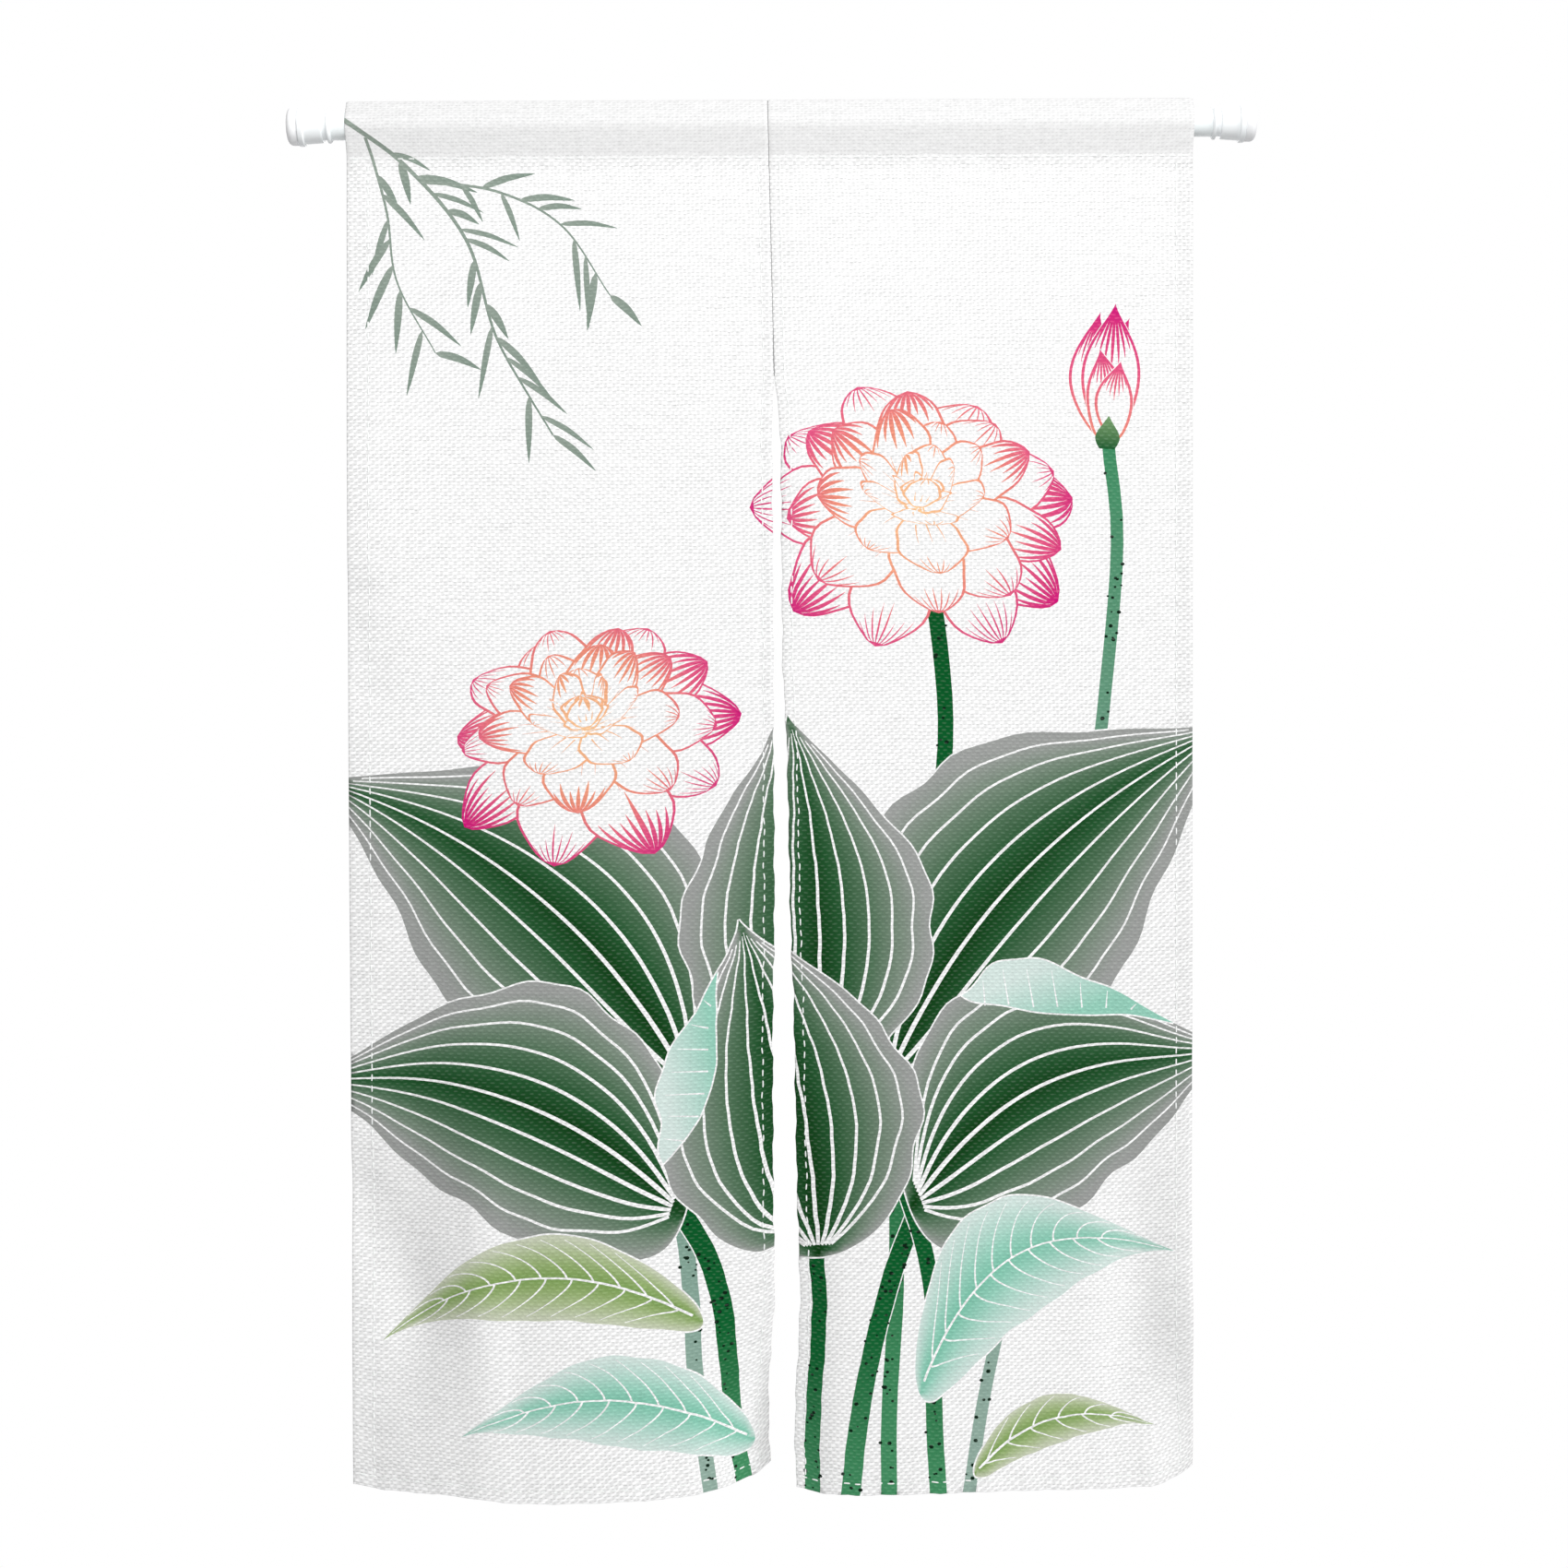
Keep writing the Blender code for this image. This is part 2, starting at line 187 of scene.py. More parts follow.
# %% A material and its nodes
class Finish:
    """A material with a Principled shader, and the few ways in which its nodes are made."""

    def __init__(self, name, roughness, gloss=0.5, coat=0.0):
        self.material = bpy.data.materials.new(name)
        self.material.use_nodes = True
        self.tree = self.material.node_tree
        self.shader = self.tree.nodes["Principled BSDF"]
        self.shader.inputs["Roughness"].default_value = roughness
        self.shader.inputs["Specular IOR Level"].default_value = gloss
        self.shader.inputs["Coat Weight"].default_value = coat

    def put(self, socket, value):
        """Links a term or socket to an input, or writes a plain value into it."""
        if isinstance(value, Term):
            value = value.socket
        if isinstance(value, bpy.types.NodeSocket):
            self.tree.links.new(value, socket)
        else:
            socket.default_value = value

    def node(self, kind, settings=None, inputs=None):
        """A node of any type. Its settings are made first, and then its inputs by name or number."""
        made = self.tree.nodes.new(kind)
        for name, value in (settings or {}).items():
            setattr(made, name, value)
        for name, value in (inputs or {}).items():
            self.put(made.inputs[name], value)
        return made

    def math(self, operation, *values):
        """A Math node on numbers and terms."""
        made = self.node("ShaderNodeMath", {"operation": operation}, dict(enumerate(values)))
        return Term(self, made.outputs[0])

    def between(self, value, low, high):
        """An S curve from 0 at low to 1 at high."""
        made = self.node(
            "ShaderNodeMapRange",
            {"interpolation_type": "SMOOTHSTEP"},
            {"Value": value, "From Min": low, "From Max": high},
        )
        return Term(self, made.outputs["Result"])

    def mix(self, share, first, second, blend="MIX"):
        """A colour between two: the first where the share is 0 and the second where it is 1."""
        made = self.node("ShaderNodeMix", {"data_type": "RGBA", "blend_type": blend})
        self.put(made.inputs["Factor"], share)
        self.put(made.inputs[6], first)
        self.put(made.inputs[7], second)
        return made.outputs[2]

    def grey(self, value):
        """A number as an even colour."""
        made = self.node("ShaderNodeCombineColor", inputs={0: value, 1: value, 2: value})
        return made.outputs[0]

    def noise(self, vector, scale, detail=2.0):
        """Soft noise from 0 to 1, with about as many blots in a metre as its scale."""
        made = self.node(
            "ShaderNodeTexNoise", inputs={"Vector": vector, "Scale": scale, "Detail": detail}
        )
        return Term(self, made.outputs["Fac"])

    def raised(self, height, distance, strength=1.0):
        """Bump in the shader's Normal, with the height in units of the distance."""
        bump = self.node(
            "ShaderNodeBump", inputs={"Height": height, "Distance": distance, "Strength": strength}
        )
        self.put(self.shader.inputs["Normal"], bump.outputs["Normal"])

    def colour(self, value):
        """Links the shader's Base Color."""
        self.put(self.shader.inputs["Base Color"], value)


def linear(red, green, blue):
    """A display colour, 0 to 255, as the linear values that a shader takes."""
    share = np.array([red, green, blue]) / 255
    return np.where(share <= 0.04045, share / 12.92, ((share + 0.055) / 1.055) ** 2.4)


def opaque(red, green, blue):
    """The same, with an alpha of 1, for a colour socket."""
    return (*linear(red, green, blue), 1.0)


print("white paint is", np.round(linear(245, 247, 248), 3))

# %% [markdown]
# ## Floor
#
# The floor is a plain pale disc, wide enough for the curtain's shadow and small enough to stay
# below the photograph's frame. Its rim is a ring of even turns, filled by one face.

# %% Make the floor
FLOOR_HEIGHT = -1.98
FLOOR_RADIUS = 1.35
FLOOR_SIDES = 96
FLOOR_CLOUD_SCALE = 3.0


def mesh_object(name, points, faces, materials):
    """A shaded-smooth object at the origin, from an array of points and a list of faces."""
    mesh = bpy.data.meshes.new(name)
    mesh.from_pydata(points.tolist(), [], faces)
    mesh.shade_smooth()
    for material in materials:
        mesh.materials.append(material)
    made = bpy.data.objects.new(name, mesh)
    bpy.context.scene.collection.objects.link(made)
    return made


floor_finish = Finish("pale floor", roughness=0.8)
floor_place = floor_finish.node("ShaderNodeTexCoord").outputs["Object"]
floor_cloud = floor_finish.noise(floor_place, FLOOR_CLOUD_SCALE)
floor_finish.colour(floor_finish.mix(floor_cloud, opaque(236, 236, 236), opaque(244, 244, 244)))

turns = np.linspace(0, 2 * pi, FLOOR_SIDES, endpoint=False)
floor_rim = np.column_stack(
    [FLOOR_RADIUS * np.cos(turns), FLOOR_RADIUS * np.sin(turns), np.full(FLOOR_SIDES, FLOOR_HEIGHT)]
)
floor = mesh_object("floor", floor_rim, [list(range(FLOOR_SIDES))], [floor_finish.material])
print("floor at", FLOOR_HEIGHT)

# %% [markdown]
# ## How the cloth hangs
#
# Each panel is one piece of cloth. It comes up behind the rod, over a small pressed crease above
# it, down the front to the line where the pocket is sewn, and on to the hem. Cloth simulation
# could drape it, but the photograph's folds are few, broad and known, and the solids already have
# them. So the same rules as the solids' are worked out here on a much finer grid: a path round the
# rod, a table of where the upright edges are, and a table of folds.
#
# A place on the cloth is given as on the cutting table: `a` across from the panel's left edge, and
# `s` along the cloth, from 0 at the crest down the front, and below 0 down the back.

# %% Sizes of the rod and the cloth
GAP = 0.0003
ROD_RADIUS = 0.0140
CLOTH = 0.0010
HEM_CLOTH = 0.0020
POCKET_CREST = 0.0250
CREASE_RADIUS = 0.0025
SEWN_LINE = 0.0334
POCKET_FILLET = 0.0150
POCKET_TAIL = 0.0060
BOTTOM_HEM = 0.0125
FULL_DROP = 1.3800
PATH_STEPS = 60


def arc(centre, radius, start, end):
    """Points on an arc in the YZ plane: centre plus the radius turned from +Z towards -Y."""
    angles = np.linspace(start, end, PATH_STEPS)
    return np.column_stack([centre[0] - radius * np.sin(angles), centre[1] + radius * np.cos(angles)])


def pocket_front():
    """The cloth's outer face in the YZ plane, from the crest to the sewn line: a small arc at the
    crease, an arc round the rod and a hollow arc to the sewn line, with straight runs between."""
    wrap = ROD_RADIUS + GAP + CLOTH
    crease_height = POCKET_CREST - CREASE_RADIUS
    upper = acos((wrap - CREASE_RADIUS) / crease_height)
    fillet_y = -(GAP / 2 + CLOTH) - POCKET_FILLET
    below = atan2(-fillet_y, -SEWN_LINE)
    lower = below - acos((wrap + POCKET_FILLET) / np.hypot(fillet_y, SEWN_LINE))
    crease = arc((0.0, crease_height), CREASE_RADIUS, 0.0, upper)
    round_rod = arc((0.0, 0.0), wrap, upper, lower)
    fillet = arc((fillet_y, -SEWN_LINE), -POCKET_FILLET, lower, pi / 2)
    return np.vstack([crease, round_rod, fillet])


front_path = pocket_front()
front_length = np.concatenate([[0.0], np.cumsum(np.hypot(*np.diff(front_path, axis=0).T))])
POCKET_LENGTH = front_length[-1]
BODY_LENGTH = FULL_DROP - SEWN_LINE
S_BACK = -POCKET_LENGTH - POCKET_TAIL
S_HEM = POCKET_LENGTH + BODY_LENGTH
print(f"crest to sewn line {POCKET_LENGTH * 1000:.1f} mm of cloth, then {BODY_LENGTH:.4f} m to the hem")

# %% [markdown]
# The upright edges lean in and out by a few millimetres, and the slit opens below the sewn top.
# A short table gives these at some drops, and a curve that never swings past its values joins
# them. The folds are half cosine waves across a panel that grow down it by an S curve.

# %% Tables of edges and folds
Outline = namedtuple("Outline", "drop outer_left slit_middle slit_gap outer_right")
OUTLINE = (
    Outline(-0.025, -0.4272, -0.0041, 0.0004, 0.4234),
    Outline(0.060, -0.4274, -0.0024, 0.0004, 0.4232),
    Outline(0.253, -0.4283, 0.0016, 0.0004, 0.4224),
    Outline(0.290, -0.4284, 0.0027, 0.0070, 0.4222),
    Outline(0.340, -0.4284, 0.0035, 0.0088, 0.4219),
    Outline(0.540, -0.4284, 0.0042, 0.0092, 0.4209),
    Outline(0.620, -0.4283, 0.0058, 0.0132, 0.4205),
    Outline(0.800, -0.4281, 0.0074, 0.0163, 0.4195),
    Outline(0.895, -0.4281, 0.0079, 0.0211, 0.4190),
    Outline(1.080, -0.4282, 0.0091, 0.0239, 0.4178),
    Outline(1.173, -0.4283, 0.0107, 0.0254, 0.4175),
    Outline(1.260, -0.4284, 0.0059, 0.0271, 0.4184),
    Outline(1.303, -0.4284, 0.0045, 0.0261, 0.4199),
    Outline(1.380, -0.4282, 0.0068, 0.0245, 0.4219),
)
SEAM_END = 0.253

Fold = namedtuple("Fold", "top_u hem_u half_width depth starts whole kept_at_hem")
LEFT_FOLDS = (
    Fold(0.50, 0.55, 0.60, -0.0240, 0.25, 1.00, 1.0),
    Fold(0.00, 0.00, 0.25, 0.0110, 0.30, 1.00, 1.0),
    Fold(0.20, 0.16, 0.13, 0.0045, 0.45, 0.86, 0.3),
    Fold(0.30, 0.33, 0.09, -0.0035, 0.60, 0.86, 0.4),
    Fold(0.72, 0.76, 0.14, 0.0030, 0.35, 0.70, 0.0),
    Fold(1.00, 1.00, 0.22, 0.0340, 0.82, 1.00, 1.0),
)
RIGHT_FOLDS = (
    Fold(0.30, 0.25, 0.60, -0.0210, 0.30, 1.00, 1.0),
    Fold(0.00, 0.00, 0.12, 0.0090, 0.60, 1.00, 1.0),
    Fold(0.55, 0.60, 0.16, 0.0030, 0.40, 0.75, 0.2),
    Fold(0.86, 0.87, 0.13, 0.0080, 0.62, 0.90, 0.6),
    Fold(1.00, 1.00, 0.15, 0.0330, 0.84, 1.00, 1.0),
)

Rise = namedtuple("Rise", "u height")
LEFT_RISE = (
    Rise(0.00, 0.0120), Rise(0.08, 0.0080), Rise(0.22, 0.0060), Rise(0.42, 0.0000),
    Rise(0.70, 0.0032), Rise(0.83, 0.0088), Rise(0.92, 0.0128), Rise(0.96, 0.0165), Rise(1.00, 0.0289),
)
RIGHT_RISE = (
    Rise(0.00, 0.0112), Rise(0.07, 0.0074), Rise(0.13, 0.0066), Rise(0.45, 0.0087),
    Rise(0.78, 0.0066), Rise(0.88, 0.0079), Rise(0.96, 0.0152), Rise(1.00, 0.0239),
)

Panel = namedtuple("Panel", "name side left_hem right_hem folds rise")
PANELS = (
    Panel("panel_left", "left", 0.0220, 0.0110, LEFT_FOLDS, LEFT_RISE),
    Panel("panel_right", "right", 0.0110, 0.0180, RIGHT_FOLDS, RIGHT_RISE),
)

print(len(OUTLINE), "rows of edges,", len(LEFT_FOLDS) + len(RIGHT_FOLDS), "folds")

# %% [markdown]
# Two rules turn the tables into a surface: a smooth curve through the rows of a table, and an S
# curve by which each fold grows down the panel.


# %% Curves through the tables
def smooth(at, places, values):
    """A smooth curve through a table's values that never swings past them: cubic pieces whose
    inner slopes are the harmonic mean of the two beside them, and level where those differ."""
    places = np.asarray(places)
    values = np.asarray(values)
    rates = np.diff(values) / np.diff(places)
    product = np.maximum(rates[:-1] * rates[1:], 0.0)
    total = np.where(product > 0, rates[:-1] + rates[1:], 1.0)
    slopes = np.concatenate([rates[:1], 2 * product / total, rates[-1:]])
    at = np.clip(at, places[0], places[-1])
    k = np.clip(np.searchsorted(places, at, side="right") - 1, 0, len(places) - 2)
    step = places[k + 1] - places[k]
    t = (at - places[k]) / step
    start = (1 + 2 * t) * (1 - t) ** 2 * values[k] + t * (1 - t) ** 2 * step * slopes[k]
    end = t**2 * (3 - 2 * t) * values[k + 1] + t**2 * (t - 1) * step * slopes[k + 1]
    return start + end


def soft_step(value):
    """0 below 0, 1 above 1, and 3 v squared less 2 v cubed between them."""
    value = np.clip(value, 0.0, 1.0)
    return value * value * (3 - 2 * value)


def fold_depth(u, share, folds):
    """How far the cloth lies behind the sewn line: the sum of the folds, each half a cosine wave
    across the panel times an S curve down it."""
    depth = np.zeros_like(u * share)
    for fold in folds:
        middle = fold.top_u + (fold.hem_u - fold.top_u) * share
        across = np.clip((u - middle) / fold.half_width, -1.0, 1.0)
        down = soft_step((share - fold.starts) / (fold.whole - fold.starts))
        if fold.whole < 1.0:
            past = soft_step((share - fold.whole) / (1 - fold.whole))
            down = down * (1 - (1 - fold.kept_at_hem) * past)
        depth += fold.depth * (1 + np.cos(pi * across)) / 2 * down
    return depth


def upright_edges(side, drop):
    """Where the panel's left and right edges are along X, at these drops below the axis."""
    drops, outer_left, middle, gap, outer_right = zip(*OUTLINE)
    slit_middle = smooth(drop, drops, middle)
    half_gap = smooth(drop, drops, gap) / 2
    if side == "left":
        return smooth(drop, drops, outer_left), slit_middle - half_gap
    return slit_middle + half_gap, smooth(drop, drops, outer_right)


def panel_width(panel):
    """The panel's width at the crest, which is also its width on the cutting table less the hems."""
    left, right = upright_edges(panel.side, np.array(-POCKET_CREST))
    return float(right - left)


for panel in PANELS:
    print(f"{panel.name}: {panel_width(panel):.4f} m wide at the top")

# %% [markdown]
# Sewing leaves its own small relief. Each line of stitches sits in a shallow groove, the cloth
# beside a hem puckers a little between stitches, and along the slit the turned edge rolls back.
# The cloth also wanders a little everywhere, and a few soft creases lie near its lower corners and
# left edge. All of this is worked out as a height over the cloth and pushed along its normal. The
# slit and the bottom edge stray from their lines by less than a millimetre.

# %% Relief of the sewing
STITCH_IN = 0.0008
GROOVE_DEPTH = 0.00032
GROOVE_WIDTH = 0.0011
PUCKER_HEIGHT = 0.00035
PUCKER_REACH = 0.016
POCKET_PUCKER_AT = 0.010
POCKET_PUCKER_REACH = 0.012
ROLL_DEPTH = 0.0007
ROLL_WIDTH = 0.0014
WANDER_HEIGHT = 0.0005
WANDER_ACROSS = 0.19
WANDER_DOWN = 0.37
WANDER_SLANTED = 0.115
BODY_STARTS = 0.004
WANDER_STARTS = 0.12
SLIT_WAVE = 0.0006
SLIT_WAVE_LENGTHS = (0.061, 0.0263)
SLIT_WAVE_STARTS = 0.06
HEM_WAVE = 0.0004
HEM_WAVE_LENGTHS = (0.043, 0.0171)

Wave = namedtuple("Wave", "length swing swing_length")
PUCKERS_DOWN = Wave(0.034, 1.7, 0.21)
PUCKERS_ACROSS = Wave(0.029, 1.4, 0.17)

Crease = namedtuple("Crease", "side start_a start_s end_a end_s width height")
CREASES = (
    Crease("left", 0.010, 1.110, 0.068, 1.240, 0.036, -0.0060),
    Crease("left", 0.050, 1.350, 0.048, 1.480, 0.032, 0.0030),
    Crease("left", 0.000, 0.500, 0.018, 0.600, 0.026, -0.0028),
    Crease("right", 0.362, 1.130, 0.342, 1.410, 0.036, -0.0034),
    Crease("right", 0.432, 1.250, 0.432, 1.385, 0.044, 0.0088),
)

print(len(CREASES), "creases; puckers every", PUCKERS_DOWN.length, "m down the hems")

# %% [markdown]
# Each kind of relief is a short formula in `a` and `s`, and their sum is the height.


# %% Heights over the cloth
def bump_at(distance, width):
    """A bell curve: e to the minus square of the distance over the width."""
    return np.exp(-((distance / width) ** 2))


def swung(at, wave, shift):
    """A sine wave whose own phase swings with a second, longer sine wave."""
    phase = wave.swing * np.sin(2 * pi * at / wave.swing_length + shift)
    return np.sin(2 * pi * at / wave.length + phase)


def creased(panel, a, s):
    """The few soft creases: each a bell curve across the straight way between its two ends, which
    fades beyond them. The distance to the way is that to its nearest point."""
    height = np.zeros_like(a * s)
    for row in CREASES:
        if row.side != panel.side:
            continue
        way = np.subtract((row.end_a, row.end_s), (row.start_a, row.start_s))
        over, down = a - row.start_a, s - row.start_s
        share = np.clip((over * way[0] + down * way[1]) / (way @ way), 0, 1)
        distance = np.hypot(over - share * way[0], down - share * way[1])
        height += row.height * bump_at(distance, row.width)
    return height


def wandering(a, s, side):
    """Two crossed sine waves and a slanted one, which differ between the two panels."""
    crossed = np.sin(2 * pi * (a / WANDER_ACROSS + 0.11 * side))
    crossed = crossed * np.sin(2 * pi * s / WANDER_DOWN + 0.8 * side)
    return crossed + 0.6 * np.sin(2 * pi * (a * 0.6 + s) / WANDER_SLANTED + side)


def relief(panel, a, s):
    """Height over the hung cloth: puckers beside the hems, less the grooves at the stitch lines and
    the rolled back edges, plus the wander and the creases."""
    width = panel_width(panel)
    from_hem = S_HEM - s
    from_sewn = s - POCKET_LENGTH
    side = 1.0 if panel.side == "left" else -1.0
    body = soft_step(from_sewn / BODY_STARTS)
    left_line = a - panel.left_hem + STITCH_IN
    right_line = width - a - panel.right_hem + STITCH_IN
    hem_line = from_hem - BOTTOM_HEM + STITCH_IN
    grooves = np.maximum(bump_at(left_line, GROOVE_WIDTH), bump_at(right_line, GROOVE_WIDTH)) * body
    grooves = np.maximum(grooves, bump_at(hem_line, GROOVE_WIDTH))
    down = swung(s, PUCKERS_DOWN, side)
    across = swung(a, PUCKERS_ACROSS, -side)
    near_sides = np.maximum(bump_at(left_line, PUCKER_REACH), bump_at(right_line, PUCKER_REACH)) * body
    near_pocket = bump_at(from_sewn - POCKET_PUCKER_AT, POCKET_PUCKER_REACH) * body
    puckers = near_sides * down + (bump_at(hem_line, PUCKER_REACH) + near_pocket) * across
    rolled = np.clip(1 - np.minimum(a, width - a) / ROLL_WIDTH, 0, 1) ** 2
    wander = wandering(a, s, side) * soft_step(from_sewn / WANDER_STARTS)
    return (
        PUCKER_HEIGHT * puckers
        - GROOVE_DEPTH * grooves
        - ROLL_DEPTH * rolled
        + WANDER_HEIGHT * wander
        + creased(panel, a, s)
    )


def two_waves(at, lengths, shifts):
    """A sine wave plus 0.7 times a shorter one."""
    long, short = (np.sin(2 * pi * at / length + shift) for length, shift in zip(lengths, shifts))
    return long + 0.7 * short


def slit_wave(panel, s):
    """How far the slit's edge strays along X below the seam, unlike on the two panels."""
    phase = 0.0 if panel.side == "left" else 2.1
    below_seam = soft_step((s - POCKET_LENGTH - SEAM_END + SEWN_LINE) / SLIT_WAVE_STARTS)
    return SLIT_WAVE * two_waves(s, SLIT_WAVE_LENGTHS, (phase, 2 * phase)) * below_seam


def hem_wave(a):
    """How far the bottom edge strays up and down across the panel."""
    return HEM_WAVE * two_waves(a, HEM_WAVE_LENGTHS, (0.6, 0.0))


print(f"grooves {GROOVE_DEPTH * 1000:.2f} mm deep, puckers {PUCKER_HEIGHT * 1000:.2f} mm high")

# %% [markdown]
# Now the whole panel is one table of places in space: rows every 2 mm along the cloth and columns
# every 2 mm across it. Any point of the cutting table is read from it by mixing its four
# neighbours, which is quick for a hundred thousand points at once.

# %% Hang a panel
TABLE_STEP = 0.002


def unit(vectors):
    """The vectors divided by their lengths, along the last axis."""
    return vectors / np.linalg.norm(vectors, axis=-1, keepdims=True)


class HungCloth:
    """The outer face of one hung panel, and its normals, as tables over a and s."""

    def __init__(self, panel):
        self.panel = panel
        self.width = panel_width(panel)
        self.columns = ceil(self.width / TABLE_STEP) + 1
        self.rows = ceil((S_HEM - S_BACK) / TABLE_STEP) + 1
        a = np.linspace(0.0, self.width, self.columns)[None, :]
        s = np.linspace(S_BACK, S_HEM, self.rows)[:, None]
        place = self.hang(a, s)
        normal = self.outward(place)
        self.place = place + normal * relief(panel, a, s)[..., None]
        self.normal = self.outward(self.place)

    def hang(self, a, s):
        """y and z come from the path round the rod or from the folds below it. x is the run that
        is left when each step across has also gone in or out, stretched between the edges."""
        u = a / self.width
        share = (s - POCKET_LENGTH) / BODY_LENGTH
        along = np.minimum(np.abs(s), POCKET_LENGTH)
        path_y = np.interp(along, front_length, front_path[:, 0]) * np.where(s < 0, -1.0, 1.0)
        path_z = np.interp(along, front_length, front_path[:, 1]) - np.maximum(-s - POCKET_LENGTH, 0)
        rise_u, rise_height = zip(*self.panel.rise)
        rise = smooth(u, rise_u, rise_height)
        below = np.clip(share, 0.0, 1.0)
        y = path_y + fold_depth(u, below, self.panel.folds)
        z = path_z - below * BODY_LENGTH + rise * below**3 + hem_wave(a) * below**8
        left_x, right_x = upright_edges(self.panel.side, -z)
        if self.panel.side == "left":
            right_x = right_x + slit_wave(self.panel, s) * u**4
        else:
            left_x = left_x + slit_wave(self.panel, s) * (1 - u) ** 4
        run = np.sqrt(np.diff(a, axis=1) ** 2 - np.diff(y, axis=1) ** 2)
        across = np.hstack([np.zeros((len(y), 1)), np.cumsum(run, axis=1)])
        x = left_x + (right_x - left_x) * across / across[:, -1:]
        return np.dstack([x, y, z])

    def outward(self, place):
        """Unit normals: the step along the cloth crossed with the step across it."""
        return unit(np.cross(np.gradient(place, axis=0), np.gradient(place, axis=1)))

    def read(self, table, a, s):
        """The table at any places, as a mix of the four entries round each."""
        column = np.clip(np.asarray(a) / self.width, 0, 1) * (self.columns - 1)
        row = np.clip((np.asarray(s) - S_BACK) / (S_HEM - S_BACK), 0, 1) * (self.rows - 1)
        i = np.minimum(row.astype(int), self.rows - 2)
        j = np.minimum(column.astype(int), self.columns - 2)
        down = (row - i)[:, None]
        over = (column - j)[:, None]
        upper = table[i, j] * (1 - over) + table[i, j + 1] * over
        lower = table[i + 1, j] * (1 - over) + table[i + 1, j + 1] * over
        return upper * (1 - down) + lower * down


hung = {panel.name: HungCloth(panel) for panel in PANELS}
for name, cloth in hung.items():
    low, high = cloth.place.min((0, 1)), cloth.place.max((0, 1))
    print(name, "reaches from", np.round(low, 4), "to", np.round(high, 4))

# %% [markdown]
# ## Drawing the print
#
# The cloth is printed with a large garden design in the manner of a woodcut: line-drawn blossoms
# from magenta to peach, broad leaves that fade from dark green to grey with white veins, pale
# blades and slim stems. An image could be laid on the cloth, but here each petal, vein and stem is
# a closed outline with a paint, drawn one over the other. Later the outlines are cut into the
# cloth's own mesh, so their edges are as crisp as the cloth itself.
#
# All places are in metres from the top left corner of the two panels, x to the right and y down.

# %% Outlines and paints
Shape = namedtuple("Shape", "outline paint")
PRINT = []
STEPS_PER_POINT = 40
TINY = 1e-9


def through(points, count):
    """A smooth line through a few points, resampled to even steps: cubic pieces whose slope at each
    point is half the way from the point before it to the one after."""
    points = np.asarray(points, float)
    first = 2 * points[0] - points[1]
    last = 2 * points[-1] - points[-2]
    padded = np.vstack([first, points, last])
    fine = np.linspace(0, len(points) - 1, STEPS_PER_POINT * len(points))
    k = np.minimum(fine.astype(int), len(points) - 2)
    t = (fine - k)[:, None]
    p0, p1, p2, p3 = padded[k], padded[k + 1], padded[k + 2], padded[k + 3]
    line = 0.5 * (
        2 * p1 + (p2 - p0) * t + (2 * p0 - 5 * p1 + 4 * p2 - p3) * t**2 + (3 * p1 - p0 - 3 * p2 + p3) * t**3
    )
    length = np.concatenate([[0.0], np.cumsum(np.hypot(*np.diff(line, axis=0).T))])
    even = np.linspace(0, length[-1], count)
    return np.column_stack([np.interp(even, length, line[:, 0]), np.interp(even, length, line[:, 1])])


def sideways(path):
    """The unit vector to the left of a path at each of its points."""
    ahead = np.gradient(path, axis=0)
    ahead /= np.maximum(np.linalg.norm(ahead, axis=1, keepdims=True), TINY)
    return np.column_stack([-ahead[:, 1], ahead[:, 0]])


def ribbon(path, half_width):
    """A closed outline: the path moved by its half width to one side, and back on the other."""
    shift = sideways(path) * np.broadcast_to(half_width, len(path))[:, None]
    return np.vstack([path + shift, (path - shift)[::-1]])


def mixed(share, colours):
    """Colours evenly spaced from share 0 to share 1, mixed in a straight line between them."""
    stops = np.linspace(0, 1, len(colours))
    return np.column_stack([np.interp(share, stops, [c[k] for c in colours]) for k in range(3)])


def ink(colour):
    """One colour all over."""
    return lambda points: np.tile(linear(*colour), (len(points), 1))


def fade(start, end, colours):
    """Colours along the straight way from start to end."""
    start, way = np.asarray(start, float), np.subtract(end, start)
    ramp = [linear(*colour) for colour in colours]
    return lambda points: mixed((points - start) @ way / (way @ way), ramp)


def glow(centre, radius, colours):
    """Colours by the distance from a centre."""
    ramp = [linear(*colour) for colour in colours]
    return lambda points: mixed(np.linalg.norm(points - centre, axis=1) / radius, ramp)


def draw(outline, paint):
    """One more shape, over all those before it. Without a paint it shows the bare cloth."""
    PRINT.append(Shape(np.asarray(outline, float), paint))


print("an ink is a function of places on the cloth")

# %% [markdown]
# ### Leaves
#
# A leaf lies along a straight way from its foot to its tip. A place in it is known by two numbers:
# the share `t` of the way, and the share `c` of the half width there, which is 1 at the upper rim
# and -1 at the lower. The whole leaf is arched by the same rule, so it can bend without folding
# over itself. Veins are lines of equal `c`, and the paint is a function of `t` and `c`, dark by
# the midrib and grey at the rim.

